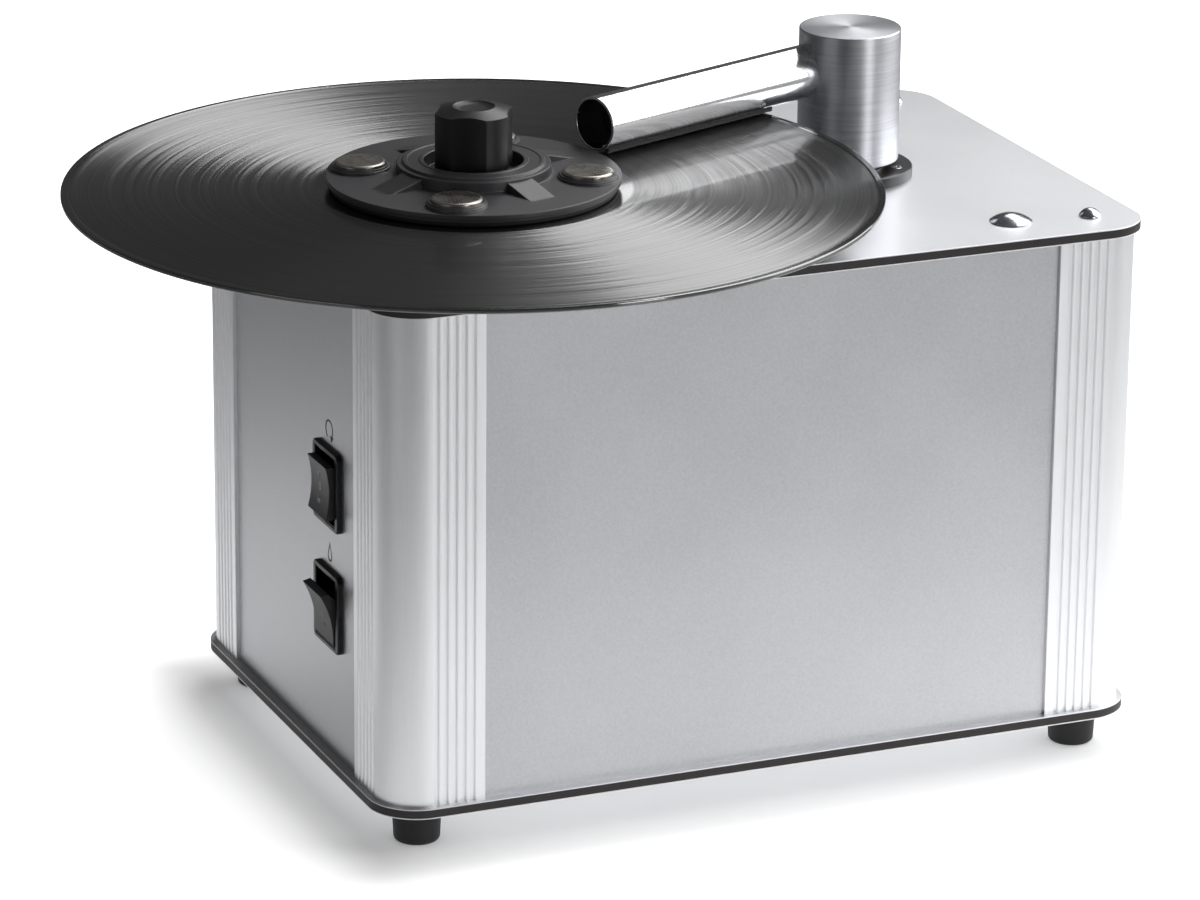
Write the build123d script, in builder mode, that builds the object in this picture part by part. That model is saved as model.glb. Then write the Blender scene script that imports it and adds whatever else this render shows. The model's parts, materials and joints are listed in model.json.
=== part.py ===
from build123d import *

import os
from math import acos, asin, atan2, cos, degrees, hypot, pi, radians, sin, sqrt, tan

# Bench-top machine that washes and vacuum-dries records.  A cabinet of four extruded
# corner profiles between two composite plates holds a geared platter drive, a suction
# fan and a waste tank.  The record lies on a small platter above the deck, under a
# screw-down clamp, and a suction arm on a lifting column swings over it.
#
# Frame: millimetres, +Z up, +X along the long side, +Y towards the back.  The origin is
# on the surface that the feet stand on, below the centre of the cabinet.

os.makedirs("parts", exist_ok=True)

# ------------------------------------------------------------------ driving dimensions
# Fits
running_clearance = 0.05      # radial, shaft in a bush
loose_clearance = 0.3         # between pieces that pass each other
pocket_clearance = 0.1        # piece dropped into its own pocket
moulding_edge = 0.5           # broken edge of a moulded or turned piece

# Cabinet
body_length = 308.0           # over the corner profiles
body_width = 208.0
body_height = 190.0           # length of the corner profiles
corner_radius = 17.0
skin_thickness = 0.5          # aluminium skin of a composite plate
core_thickness = 3.0          # dark core between the skins
plate_overhang = 2.3          # how far a plate stands out past the profiles

# Corner profile
flange_length = 37.8          # from the outer corner to the flange's edge
outer_lip = 1.6               # wall in front of the panel
inner_lip = 1.6               # wall behind the panel
panel_thickness = 2.0
slot_depth = 8.0
groove_start = 18.5           # outer corner to the first decorative groove
groove_pitch = 3.6
groove_count = 5
groove_radius = 0.55
port_bore = 2.1               # screw port at the centre of the rounded corner
port_wall = 2.6
web_thickness = 2.4

# Feet and deck fasteners
foot_height = 15.0
foot_top_radius = 9.5
foot_bottom_radius = 8.7
foot_edge_radius = 1.2
foot_screw_radius = 2.0
foot_screw_length = 22.0
foot_screw_head_radius = 4.0
foot_screw_head_height = 2.6
foot_screw_recess = 2.4       # screw head above the surface that the feet stand on
dome_screw_radius = 4.3
dome_screw_height = 3.2
dome_screw_length = 20.0
dome_bolt_radius = 8.1
dome_bolt_height = 3.3
dome_bolt_inset_x = 48.4      # from the profiles' right face
dome_bolt_inset_y = 21.2      # from the profiles' front face
dome_bolt_shank_radius = 3.0
dome_bolt_length = 16.0
dome_rim = 0.5                # upright edge below a domed head

# Platter, drive and record
spindle_inset_x = 49.0        # from the profiles' left face
spindle_inset_y = 41.3        # from the profiles' front face
record_rise = 30.5            # top of the record above the deck
record_radius = 150.8
record_thickness = 1.8        # at the rim and the label
record_groove_relief = 0.2    # how much lower the grooved band lies on each side
record_bead = 2.4             # width of the thick rim
label_radius = 50.0
record_hole_radius = 3.62
mat_thickness = 1.0
platter_radius = 50.0
platter_thickness = 4.0
platter_hub_radius = 15.0
platter_hub_taper = 2.0       # between the hub and the plate
platter_edge = 1.0
spindle_radius = 5.0
spindle_pin_radius = 3.55
spindle_pin_rise = 14.5       # tip of the spindle above the record
spindle_tip_edge = 1.5
spindle_step_below = 6.5      # thick part of the spindle ends this far below the platter's top
bush_wall = 4.0
bush_flange_width = 5.0
bush_flange_thickness = 2.5
bush_length = 14.0
drive_drop = 38.0             # underside of the drive plate's pillars below the deck's underside
drive_plate_thickness = 3.0
pillar_radius = 4.0
pillar_margin = 2.0           # drive plate's edge outside a pillar
pillar_gap = 1.2              # between a pillar and the gear's teeth
pillar_angle = 105.0          # near pillars, each side of the drive motor's direction
far_pillar_reach = 66.0       # spindle to the pillar beyond the drive motor
drive_screw_radius = 2.0
drive_screw_head_radius = 3.8
drive_screw_head_height = 2.4
drive_screw_length = 12.0
gear_module = 1.0
gear_teeth = 60
pinion_teeth = 20
gear_pressure_angle = 20.0
gear_backlash = 0.16
gear_addendum = 0.95          # tooth tip outside the pitch circle, in modules
gear_dedendum = 1.25          # tooth root inside the pitch circle, in modules
gear_width = 8.0
gear_gap = 4.0                # between the drive plate's bush and the gear
gear_hub_radius = 9.0
drive_motor_angle = 45.0      # direction from the spindle to the drive motor
drive_motor_radius = 18.5
drive_motor_length = 58.0
drive_motor_edge = 1.5
motor_shaft_radius = 3.0
motor_shaft_in_can = 12.0

# Clamp, heights above the record
seal_thickness = 1.7
seal_outer_radius = 53.0
seal_width = 6.0
clamp_radius = 54.4
clamp_rim_height = 4.76
clamp_crown_height = 5.67     # disc's face where it meets the collar
clamp_hub_radius = 14.0
collar_radius = 28.4
collar_shoulder_height = 9.4
collar_top_radius = 26.0
collar_top_height = 10.35
collar_well_radius = 18.2
collar_well_floor = 5.4
clamp_bush_radius = 5.5
clamp_bush_flange_radius = 8.5
clamp_bush_flange = 1.6
clamp_bush_rise = 16.0
weight_radius = 9.45
weight_circle = 42.1
weight_top = 7.96
weight_thickness = 3.4
weight_edge = 0.7
socket_radius = 11.2
socket_step_radius = 10.5
socket_height = 6.1
socket_step_height = 6.8
clamp_angle = -30.0           # direction of the first weight
rib_width = 11.4
rib_reach = 41.5
rib_start_drop = 0.6          # rib's top below the collar's shoulder
rib_end_rise = 0.3            # rib's low end above the disc's rim
knob_radius = 14.9
knob_shoulder_height = 28.55
knob_top_height = 30.45
knob_dish_radius = 7.6
knob_dish_depth = 0.9
knob_flute_angle = 52.0       # angle that each flute takes out of the knob
knob_flute_sag = 0.8
flute_count = 4
weight_count = 4

# Suction arm
column_record_gap = 20.2541   # between the record's rim and the column
column_y = -1.0
column_radius = 19.7
column_wall = 2.7
column_rise = 58.8            # top of the column above the deck
column_gap = 6.8              # between the raised column and the deck
tube_radius = 10.25
tube_wall = 1.0
tube_offset = 8.0             # between the axes of the tube and the column
tube_end_gap = 6.7            # between the tube's open end and the clamp
tube_gap = 1.75               # between the tube and the record
tube_root = 5.0               # where the tube ends inside the column
plug_recess = 14.0
plug_thickness = 6.0
suction_slot_width = 3.0
velvet_clearance = 0.35
velvet_width = 2.4
velvet_length = 88.0
velvet_start = 4.0            # from the tube's open end
lift_pipe_radius = 14.0
lift_pipe_wall = 1.5
lift_pipe_length = 86.5
column_bush_length = 8.0
guide_length = 59.0
guide_wall = 3.45
guide_flange_radius = 27.0
guide_flange_thickness = 3.0
flange_radius = 25.3
flange_height = 4.2
flange_clearance = 0.4
flange_edge = 0.7
flange_screw_circle = 19.75
flange_screw_radius = 1.2
flange_screw_head_radius = 2.2
flange_screw_length = 10.0
flange_screw_slot = 0.5
flange_screw_slot_depth = 0.4
flange_screw_angle = -37.6
flange_screw_count = 3

# Switches on the left panel
switch_inset_y = 67.0         # from the profiles' front face
motor_switch_drop = 83.9      # below the deck's underside
vacuum_switch_drop = 132.0
bezel_width = 26.5
bezel_height = 31.0
bezel_thickness = 2.0
bezel_corner = 2.2
bezel_lip = 3.2               # bezel's overlap on the housing, at top and bottom
window_border = 0.9           # housing wall around the rocker
housing_depth = 24.0
cavity_depth = 12.0
rocker_half_height = 10.5
rocker_gap = 0.4              # rocker to housing, at each side
rocker_rise = 3.3             # rocker's edge above the bezel when level
rocker_hollow = 1.5           # depth of the curve across the rocker
rocker_edge = 3.2             # thickness of the rocker at its ends
rocker_angle = 14.0           # each way from level
pivot_depth = 5.4             # pivot behind the bezel's front
pivot_radius = 1.5

# Suction fan
fan_inset_x = 76.0            # from the profiles' left face
fan_inset_y = 62.0            # from the profiles' back face
mount_ring_radius = 38.0
mount_ring_width = 10.0
mount_ring_height = 12.0
vacuum_motor_radius = 38.0
vacuum_motor_height = 43.0
fan_radius = 52.0
fan_height = 37.0
fan_wall = 1.5
fan_shaft_radius = 4.0
fan_shaft_in_motor = 30.0
impeller_radius = 46.0
impeller_plate = 2.0
blade_count = 10
blade_length = 28.0
blade_height = 16.0
blade_thickness = 1.5
blade_angle = 35.0
impeller_gap = 5.0
exhaust_width = 36.0
exhaust_height = 20.0
grille_frame = 5.0
grille_thickness = 2.0
grille_slots = 5
grille_slot_height = 2.4
hose_radius = 11.0
hose_wall = 2.0
hose_bend = 18.0
hose_level = 17.0             # hose axis below the deck's underside
spigot_length = 6.0

# Waste tank
tank_centre_gap = 8.0         # from the middle of the cabinet
tank_side_gap = 8.4           # to the right panel
tank_front_gap = 44.0         # to the profiles' front face
tank_back_gap = 46.0          # to the profiles' back face
tank_headroom = 44.0          # between the tank's rim and the deck's underside
tank_wall = 2.5
tank_corner = 8.0
tank_lid_thickness = 3.0
tank_lid_overhang = 3.0
tank_spigot_inset = 22.0      # from the tank's left side

# Drain valve, mains inlet
drain_inset = 32.0            # from the tank's left side
drain_rise = 17.0             # above the base plate
drain_pipe_radius = 6.0
drain_bore = 3.5
valve_radius = 9.0
valve_length = 14.0
spout_radius = 5.0
spout_length = 18.0
valve_stem_radius = 3.0
lever_length = 24.0
lever_width = 8.0
lever_thickness = 3.0
inlet_inset_x = 60.0          # from the profiles' right face
inlet_rise = 41.0             # above the base plate
inlet_width = 30.0
inlet_height = 26.0
inlet_flange = 2.5
inlet_lip = 2.0
inlet_depth = 24.0
socket_width = 24.5
socket_opening = 16.5
socket_depth = 16.0
prong_height = 4.0
prong_thickness = 2.0
prong_length = 14.0
prong_spacing = 7.0

# Supply board on its bracket
bracket_thickness = 2.0
bracket_width = 46.0
bracket_offset = 17.6         # bracket's upright face behind the dome bolt
bracket_drop = 96.0
board_width = 64.0
board_height = 70.0
board_thickness = 1.6
board_standoff = 5.0
standoff_radius = 3.0
standoff_inset = 14.0         # from the board's side edges
transformer_size = 30.0
transformer_depth = 11.0
capacitor_radius = 5.0
capacitor_height = 9.0
loom_radius = 2.5
loom_bend = 12.0
loom_slant = 46.0             # along the cabinet, while the loom crosses to the tank's front

# ------------------------------------------------------------------ worked-out levels
plate_thickness = core_thickness + 2 * skin_thickness
plate_length = body_length + 2 * plate_overhang
plate_width = body_width + 2 * plate_overhang
plate_corner = corner_radius + plate_overhang
base_z = foot_height
case_z = base_z + plate_thickness
lid_z = case_z + body_height
deck_z = lid_z + plate_thickness
record_top = deck_z + record_rise
record_bottom = record_top - record_thickness
platter_top = record_bottom - mat_thickness
slot_width = panel_thickness + pocket_clearance
profile_wall = outer_lip + slot_width + inner_lip
panel_front = outer_lip                       # panel's face behind the profile's face
panel_back = outer_lip + panel_thickness
port_x = body_length / 2 - corner_radius
port_y = body_width / 2 - corner_radius
port_places = [(-port_x, -port_y), (port_x, -port_y), (port_x, port_y), (-port_x, port_y)]
switch_y = -body_width / 2 + switch_inset_y
motor_switch_z = lid_z - motor_switch_drop
vacuum_switch_z = lid_z - vacuum_switch_drop
dome_bolt_x = body_length / 2 - dome_bolt_inset_x
dome_bolt_y = -body_width / 2 + dome_bolt_inset_y
spindle_x = -body_length / 2 + spindle_inset_x
spindle_y = -body_width / 2 + spindle_inset_y
column_to_spindle = record_radius + column_record_gap + column_radius
column_x = spindle_x + sqrt(column_to_spindle ** 2 - (column_y - spindle_y) ** 2)
column_to_spindle_angle = degrees(atan2(spindle_y - column_y, spindle_x - column_x))
arm_angle = column_to_spindle_angle + degrees(asin(tube_offset / column_to_spindle))
tube_to_spindle = sqrt(column_to_spindle ** 2 - tube_offset ** 2)
tube_reach = tube_to_spindle - clamp_radius - tube_end_gap
tube_z = record_top + tube_gap + tube_radius
column_bottom = deck_z + column_gap
column_top = deck_z + column_rise
column_bore = column_radius - column_wall
bush_radius = spindle_radius + bush_wall
spindle_bore = spindle_radius + running_clearance
guide_radius = lift_pipe_radius + running_clearance + guide_wall
drive_plate_z = lid_z - drive_drop
gear_radius = gear_module * gear_teeth / 2
pinion_radius = gear_module * pinion_teeth / 2
centre_distance = gear_radius + pinion_radius
motor_x = spindle_x + centre_distance * cos(radians(drive_motor_angle))
motor_y = spindle_y + centre_distance * sin(radians(drive_motor_angle))
gear_z = drive_plate_z + drive_plate_thickness + bush_flange_thickness + gear_gap
tank_left = tank_centre_gap
tank_right = body_length / 2 - panel_back - tank_side_gap
tank_front = -body_width / 2 + tank_front_gap
tank_back = body_width / 2 - tank_back_gap
tank_x = (tank_left + tank_right) / 2
tank_y = (tank_front + tank_back) / 2
tank_length = tank_right - tank_left
tank_width = tank_back - tank_front
tank_height = body_height - tank_headroom
tank_spigot_x = tank_left + tank_spigot_inset
tank_top = case_z + tank_height
drain_x = tank_left + drain_inset
drain_z = case_z + drain_rise
inlet_x = body_length / 2 - inlet_inset_x
inlet_z = case_z + inlet_rise
fan_x = -body_length / 2 + fan_inset_x
fan_y = body_width / 2 - fan_inset_y
lid_top = tank_top + tank_lid_thickness
fan_base = case_z + mount_ring_height + vacuum_motor_height
fan_top = fan_base + fan_height
hose_z = lid_z - hose_level


# ------------------------------------------------------------------ shared shapes
def upright(centre_x, centre_y):
    """Plane through a vertical axis: local x is the radius, local y is the height."""
    return Plane(origin=(centre_x, centre_y, 0), x_dir=(1, 0, 0), z_dir=(0, -1, 0))


def turned(centre_x, centre_y, outline):
    """Solid turned about a vertical axis from a closed outline of (radius, height)."""
    with BuildPart() as turning:
        with BuildSketch(upright(centre_x, centre_y)):
            with BuildLine():
                Polyline(*outline, close=True)
            make_face()
        revolve(axis=Axis((centre_x, centre_y, 0), (0, 0, 1)))
    return turning.part


def domed_fastener(head_radius, head_height, shank_radius, shank_length):
    """Low domed head standing on z = 0 with its shank below."""
    with BuildPart() as fastener:
        with BuildSketch(Plane.XZ):
            with BuildLine():
                edge = Line((head_radius, 0), (head_radius, dome_rim))
                crown = TangentArc((0, head_height), (head_radius, dome_rim), tangent=(1, 0))
                Line((0, head_height), (0, 0))
                Line((0, 0), (head_radius, 0))
            make_face()
        revolve(axis=Axis.Z)
        with BuildSketch(Plane.XY):
            Circle(shank_radius)
        extrude(amount=-shank_length)
    return fastener.part


def pan_screw(head_radius, head_height, shank_radius, shank_length):
    """Pan head with a cross recess, seated on z = 0, with its shank below."""
    with BuildPart() as screw:
        Cylinder(head_radius, head_height, align=(Align.CENTER, Align.CENTER, Align.MIN))
        fillet(screw.edges().group_by(Axis.Z)[-1], head_height * 0.45)
        with Locations((0, 0, head_height)):
            Box(head_radius * 1.1, head_radius * 0.25, head_height, mode=Mode.SUBTRACT)
            Box(head_radius * 0.25, head_radius * 1.1, head_height, mode=Mode.SUBTRACT)
        with BuildSketch(Plane.XY):
            Circle(shank_radius)
        extrude(amount=-shank_length)
    return screw.part


# ------------------------------------------------------------------ composite plates
flange_screw_places = PolarLocations(flange_screw_circle, flange_screw_count, flange_screw_angle)
near_pillar_reach = gear_radius + gear_module + pillar_gap + pillar_radius
pillar_polar = [
    (near_pillar_reach, drive_motor_angle - pillar_angle),
    (near_pillar_reach, drive_motor_angle + pillar_angle),
    (far_pillar_reach, drive_motor_angle),
]
pillar_places = [
    (spindle_x + reach * cos(radians(angle)), spindle_y + reach * sin(radians(angle)))
    for reach, angle in pillar_polar
]


def top_plate_layer(height, thickness):
    """One layer of the deck, with every hole that goes through it."""
    with BuildPart() as layer:
        with BuildSketch(Plane.XY.offset(height)):
            RectangleRounded(plate_length, plate_width, plate_corner)
            with Locations(*port_places):
                Circle(foot_screw_radius + pocket_clearance, mode=Mode.SUBTRACT)
            with Locations((dome_bolt_x, dome_bolt_y)):
                Circle(dome_bolt_shank_radius, mode=Mode.SUBTRACT)
            with Locations((spindle_x, spindle_y)):
                Circle(bush_radius, mode=Mode.SUBTRACT)
            with Locations(*pillar_places):
                Circle(drive_screw_radius, mode=Mode.SUBTRACT)
            with Locations((column_x, column_y)):
                Circle(guide_radius, mode=Mode.SUBTRACT)
                with PolarLocations(flange_screw_circle, flange_screw_count, flange_screw_angle):
                    Circle(flange_screw_radius, mode=Mode.SUBTRACT)
        extrude(amount=thickness)
    return layer.part


def base_plate_layer(height, thickness):
    """One layer of the base plate, with the holes for the foot screws."""
    with BuildPart() as layer:
        with BuildSketch(Plane.XY.offset(height)):
            RectangleRounded(plate_length, plate_width, plate_corner)
            with Locations(*port_places):
                Circle(foot_screw_radius + pocket_clearance, mode=Mode.SUBTRACT)
        extrude(amount=thickness)
    return layer.part


with BuildPart() as top_plate_core:
    add(top_plate_layer(lid_z + skin_thickness, core_thickness))
top_plate_core.part.label = "top_plate_core"
export_step(top_plate_core.part, "parts/top_plate_core.step")

with BuildPart() as top_plate_skins:
    add(top_plate_layer(lid_z, skin_thickness))
    add(top_plate_layer(deck_z - skin_thickness, skin_thickness))
top_plate_skins.part.label = "top_plate_skins"
export_step(top_plate_skins.part, "parts/top_plate_skins.step")

with BuildPart() as base_plate_core:
    add(base_plate_layer(base_z + skin_thickness, core_thickness))
base_plate_core.part.label = "base_plate_core"
export_step(base_plate_core.part, "parts/base_plate_core.step")

with BuildPart() as base_plate_skins:
    add(base_plate_layer(base_z, skin_thickness))
    add(base_plate_layer(case_z - skin_thickness, skin_thickness))
base_plate_skins.part.label = "base_plate_skins"
export_step(base_plate_skins.part, "parts/base_plate_skins.step")

# ------------------------------------------------------------------ corner profiles
# Section with the outer corner at the origin and a flange along each axis.
grooves = [groove_start + groove_pitch * i for i in range(groove_count)]
chamber_end = flange_length - slot_depth - inner_lip
with BuildSketch() as profile_section:
    Rectangle(flange_length, flange_length, align=(Align.MIN, Align.MIN))
    fillet(profile_section.vertices().sort_by_distance((0, 0, 0))[0], corner_radius)
    with Locations((profile_wall, profile_wall)):
        Rectangle(flange_length, flange_length, align=(Align.MIN, Align.MIN), mode=Mode.SUBTRACT)
    inner_corner = profile_section.vertices().sort_by_distance((profile_wall, profile_wall, 0))[0]
    fillet(inner_corner, corner_radius - profile_wall)
    slot_centre = outer_lip + slot_width / 2
    with Locations((flange_length, slot_centre)):
        Rectangle(2 * slot_depth, slot_width, mode=Mode.SUBTRACT)
    with Locations((slot_centre, flange_length)):
        Rectangle(slot_width, 2 * slot_depth, mode=Mode.SUBTRACT)
    with Locations((groove_start, slot_centre)):
        Rectangle(chamber_end - groove_start, slot_width, align=(Align.MIN, Align.CENTER),
                  mode=Mode.SUBTRACT)
    with Locations((slot_centre, groove_start)):
        Rectangle(slot_width, chamber_end - groove_start, align=(Align.CENTER, Align.MIN),
                  mode=Mode.SUBTRACT)
    with Locations(*[(x, 0) for x in grooves], *[(0, y) for y in grooves]):
        Circle(groove_radius, mode=Mode.SUBTRACT)
    with Locations(Location((corner_radius, corner_radius, 0), (0, 0, 225))):
        Rectangle(corner_radius - profile_wall + inner_lip, web_thickness,
                  align=(Align.MIN, Align.CENTER))
    with Locations((corner_radius, corner_radius)):
        Circle(port_bore + port_wall)
        Circle(port_bore, mode=Mode.SUBTRACT)

corners = {
    "front_left": (-1, -1, 0),
    "front_right": (1, -1, 90),
    "back_right": (1, 1, 180),
    "back_left": (-1, 1, 270),
}
for corner, (side_x, side_y, turn) in corners.items():
    place = Location((side_x * body_length / 2, side_y * body_width / 2, case_z), (0, 0, turn))
    with BuildPart() as corner_profile:
        with BuildSketch(Plane(place)):
            add(profile_section.sketch)
        extrude(amount=body_height)
    corner_profile.part.label = f"corner_profile_{corner}"
    export_step(corner_profile.part, f"parts/corner_profile_{corner}.step")

# ------------------------------------------------------------------ side panels
slot_floor_gap = loose_clearance
panel_reach = flange_length - slot_depth + slot_floor_gap
long_panel = body_length - 2 * panel_reach
short_panel = body_width - 2 * panel_reach
left_face_x = -body_length / 2 + panel_front
back_face_y = body_width / 2 - panel_front

with BuildPart() as front_panel:
    with Locations((0, -body_width / 2 + panel_front, case_z)):
        Box(long_panel, panel_thickness, body_height, align=(Align.CENTER, Align.MIN, Align.MIN))
front_panel.part.label = "front_panel"
export_step(front_panel.part, "parts/front_panel.step")

with BuildPart() as right_panel:
    with Locations((body_length / 2 - panel_front, 0, case_z)):
        Box(panel_thickness, short_panel, body_height, align=(Align.MAX, Align.CENTER, Align.MIN))
right_panel.part.label = "right_panel"
export_step(right_panel.part, "parts/right_panel.step")

window_width = bezel_width - 2 * bezel_lip
window_height = bezel_height - 2 * bezel_lip + 2 * window_border
housing_width = window_width + 2 * window_border
housing_height = window_height + 2 * window_border
with BuildPart() as left_panel:
    with Locations((left_face_x, 0, case_z)):
        Box(panel_thickness, short_panel, body_height, align=(Align.MIN, Align.CENTER, Align.MIN))
    with Locations((left_face_x, switch_y, motor_switch_z), (left_face_x, switch_y, vacuum_switch_z)):
        Box(4 * panel_thickness, housing_width + 2 * pocket_clearance,
            housing_height + 2 * pocket_clearance, mode=Mode.SUBTRACT)
left_panel.part.label = "left_panel"
export_step(left_panel.part, "parts/left_panel.step")

exhaust_z = fan_base + fan_height / 2
with BuildPart() as back_panel:
    with Locations((0, back_face_y, case_z)):
        Box(long_panel, panel_thickness, body_height, align=(Align.CENTER, Align.MAX, Align.MIN))
    with Locations((fan_x, back_face_y, exhaust_z)):
        Box(exhaust_width, 4 * panel_thickness, exhaust_height, mode=Mode.SUBTRACT)
    with Locations((inlet_x, back_face_y, inlet_z)):
        Box(inlet_width + 2 * pocket_clearance, 4 * panel_thickness,
            inlet_height + 2 * pocket_clearance, mode=Mode.SUBTRACT)
    with Locations((drain_x, back_face_y, drain_z)):
        Cylinder(drain_pipe_radius, 4 * panel_thickness, rotation=(90, 0, 0), mode=Mode.SUBTRACT)
back_panel.part.label = "back_panel"
export_step(back_panel.part, "parts/back_panel.step")

# ------------------------------------------------------------------ feet and fasteners
head_pocket = foot_screw_head_height + foot_screw_recess
with BuildPart() as rubber_feet:
    for foot_x, foot_y in port_places:
        with BuildSketch(upright(foot_x, foot_y)) as foot_section:
            with BuildLine():
                Polyline(
                    (foot_screw_radius + pocket_clearance, head_pocket),
                    (foot_screw_head_radius + pocket_clearance, head_pocket),
                    (foot_screw_head_radius + pocket_clearance, 0),
                    (foot_bottom_radius, 0),
                    (foot_top_radius, foot_height),
                    (foot_screw_radius + pocket_clearance, foot_height),
                    close=True,
                )
            make_face()
            outer_foot = foot_section.vertices().sort_by_distance((foot_bottom_radius, 0, 0))[0]
            fillet(outer_foot, foot_edge_radius)
        revolve(axis=Axis((foot_x, foot_y, 0), (0, 0, 1)))
rubber_feet.part.label = "rubber_feet"
export_step(rubber_feet.part, "parts/rubber_feet.step")

foot_screw = pan_screw(foot_screw_head_radius, foot_screw_head_height, foot_screw_radius,
                       foot_screw_length)
with BuildPart() as foot_screws:
    with Locations(*[Location((x, y, head_pocket), (180, 0, 0)) for x, y in port_places]):
        add(foot_screw)
foot_screws.part.label = "foot_screws"
export_step(foot_screws.part, "parts/foot_screws.step")

dome_screw = domed_fastener(dome_screw_radius, dome_screw_height, foot_screw_radius,
                            dome_screw_length)
with BuildPart() as corner_dome_screws:
    with Locations(*[(x, y, deck_z) for x, y in port_places]):
        add(dome_screw)
corner_dome_screws.part.label = "corner_dome_screws"
export_step(corner_dome_screws.part, "parts/corner_dome_screws.step")

dome_bolt = domed_fastener(dome_bolt_radius, dome_bolt_height, dome_bolt_shank_radius,
                           dome_bolt_length)
with BuildPart() as bracket_dome_bolt:
    with Locations((dome_bolt_x, dome_bolt_y, deck_z)):
        add(dome_bolt)
bracket_dome_bolt.part.label = "bracket_dome_bolt"
export_step(bracket_dome_bolt.part, "parts/bracket_dome_bolt.step")

# ------------------------------------------------------------------ rocker switches
pivot_x = left_face_x - bezel_thickness + pivot_depth
rocker_width = window_width - 2 * rocker_gap
rocker_reach = pivot_depth + rocker_rise      # pivot to the rocker's outer edge


def switch_housing(height):
    """Bezel and housing of one rocker switch, open at the front."""
    face = Plane(origin=(left_face_x, switch_y, height), x_dir=(0, -1, 0), z_dir=(-1, 0, 0))
    with BuildPart() as housing:
        with BuildSketch(face):
            RectangleRounded(bezel_width, bezel_height, bezel_corner)
        extrude(amount=bezel_thickness)
        chamfer(housing.edges().group_by(Axis.X)[0], bezel_thickness / 4)
        with BuildSketch(face):
            Rectangle(housing_width, housing_height)
        extrude(amount=-housing_depth)
        with BuildSketch(face.offset(bezel_thickness)):
            Rectangle(window_width, window_height)
        extrude(amount=-bezel_thickness - cavity_depth, mode=Mode.SUBTRACT)
        with Locations((pivot_x, switch_y, height)):
            Cylinder(pivot_radius + running_clearance, housing_width, rotation=(90, 0, 0),
                     mode=Mode.SUBTRACT)
    return housing.part


def switch_rocker(height, tilt):
    """Rocker with a curved face, turned by tilt degrees so that its top stands out."""
    level = Plane(origin=(pivot_x, switch_y, height), x_dir=(-1, 0, 0), z_dir=(0, 1, 0))
    with BuildPart() as rocker:
        with BuildSketch(level.rotated((0, -tilt, 0))) as rocker_section:
            with BuildLine():
                ThreePointArc(
                    (rocker_reach, rocker_half_height),
                    (rocker_reach - rocker_hollow, 0),
                    (rocker_reach, -rocker_half_height),
                )
                Polyline(
                    (rocker_reach, -rocker_half_height),
                    (rocker_reach - rocker_edge, -rocker_half_height),
                    (pivot_radius, -2.5 * pivot_radius),
                    (-2 * pivot_radius, -1.5 * pivot_radius),
                    (-2 * pivot_radius, 1.5 * pivot_radius),
                    (pivot_radius, 2.5 * pivot_radius),
                    (rocker_reach - rocker_edge, rocker_half_height),
                    (rocker_reach, rocker_half_height),
                )
            make_face()
            outer_corners = sorted(rocker_section.vertices(), key=lambda v: -hypot(v.X, v.Y))
            fillet(outer_corners[:2], rocker_hollow / 3)
        extrude(amount=rocker_width / 2, both=True)
        with Locations((pivot_x, switch_y, height)):
            Cylinder(pivot_radius, housing_width - 2 * pocket_clearance, rotation=(90, 0, 0))
    return rocker.part


with BuildPart() as motor_switch_housing:
    add(switch_housing(motor_switch_z))
motor_switch_housing.part.label = "motor_switch_housing"
export_step(motor_switch_housing.part, "parts/motor_switch_housing.step")

with BuildPart() as vacuum_switch_housing:
    add(switch_housing(vacuum_switch_z))
vacuum_switch_housing.part.label = "vacuum_switch_housing"
export_step(vacuum_switch_housing.part, "parts/vacuum_switch_housing.step")

with BuildPart() as motor_rocker:
    add(switch_rocker(motor_switch_z, 0))
motor_rocker.part.label = "motor_rocker"
export_step(motor_rocker.part, "parts/motor_rocker.step")

with BuildPart() as vacuum_rocker:
    add(switch_rocker(vacuum_switch_z, rocker_angle))
vacuum_rocker.part.label = "vacuum_rocker"
export_step(vacuum_rocker.part, "parts/vacuum_rocker.step")

# ------------------------------------------------------------------ platter drive
upper_bush_bottom = deck_z - bush_length
drive_plate_top = drive_plate_z + drive_plate_thickness
upper_bush = [
    (spindle_bore, upper_bush_bottom),
    (bush_radius, upper_bush_bottom),
    (bush_radius, deck_z),
    (bush_radius + bush_flange_width, deck_z),
    (bush_radius + bush_flange_width, deck_z + bush_flange_thickness),
    (spindle_bore, deck_z + bush_flange_thickness),
]
lower_bush = [
    (spindle_bore, drive_plate_z),
    (bush_radius, drive_plate_z),
    (bush_radius, drive_plate_top),
    (bush_radius + bush_flange_width, drive_plate_top),
    (bush_radius + bush_flange_width, drive_plate_top + bush_flange_thickness),
    (spindle_bore, drive_plate_top + bush_flange_thickness),
]
with BuildPart() as spindle_bushes:
    add(turned(spindle_x, spindle_y, upper_bush))
    add(turned(spindle_x, spindle_y, lower_bush))
spindle_bushes.part.label = "spindle_bushes"
export_step(spindle_bushes.part, "parts/spindle_bushes.step")

with BuildPart() as drive_plate:
    with BuildSketch(Plane.XY.offset(drive_plate_z)):
        with Locations(*pillar_places):
            Circle(pillar_radius + pillar_margin)
        with Locations((motor_x, motor_y)):
            Circle(drive_motor_radius)
        make_hull()
        with Locations(*pillar_places):
            Circle(drive_screw_radius, mode=Mode.SUBTRACT)
        with Locations((spindle_x, spindle_y)):
            Circle(bush_radius, mode=Mode.SUBTRACT)
        with Locations((motor_x, motor_y)):
            Circle(motor_shaft_radius + 2 * loose_clearance, mode=Mode.SUBTRACT)
    extrude(amount=drive_plate_thickness)
drive_plate.part.label = "drive_plate"
export_step(drive_plate.part, "parts/drive_plate.step")

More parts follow.
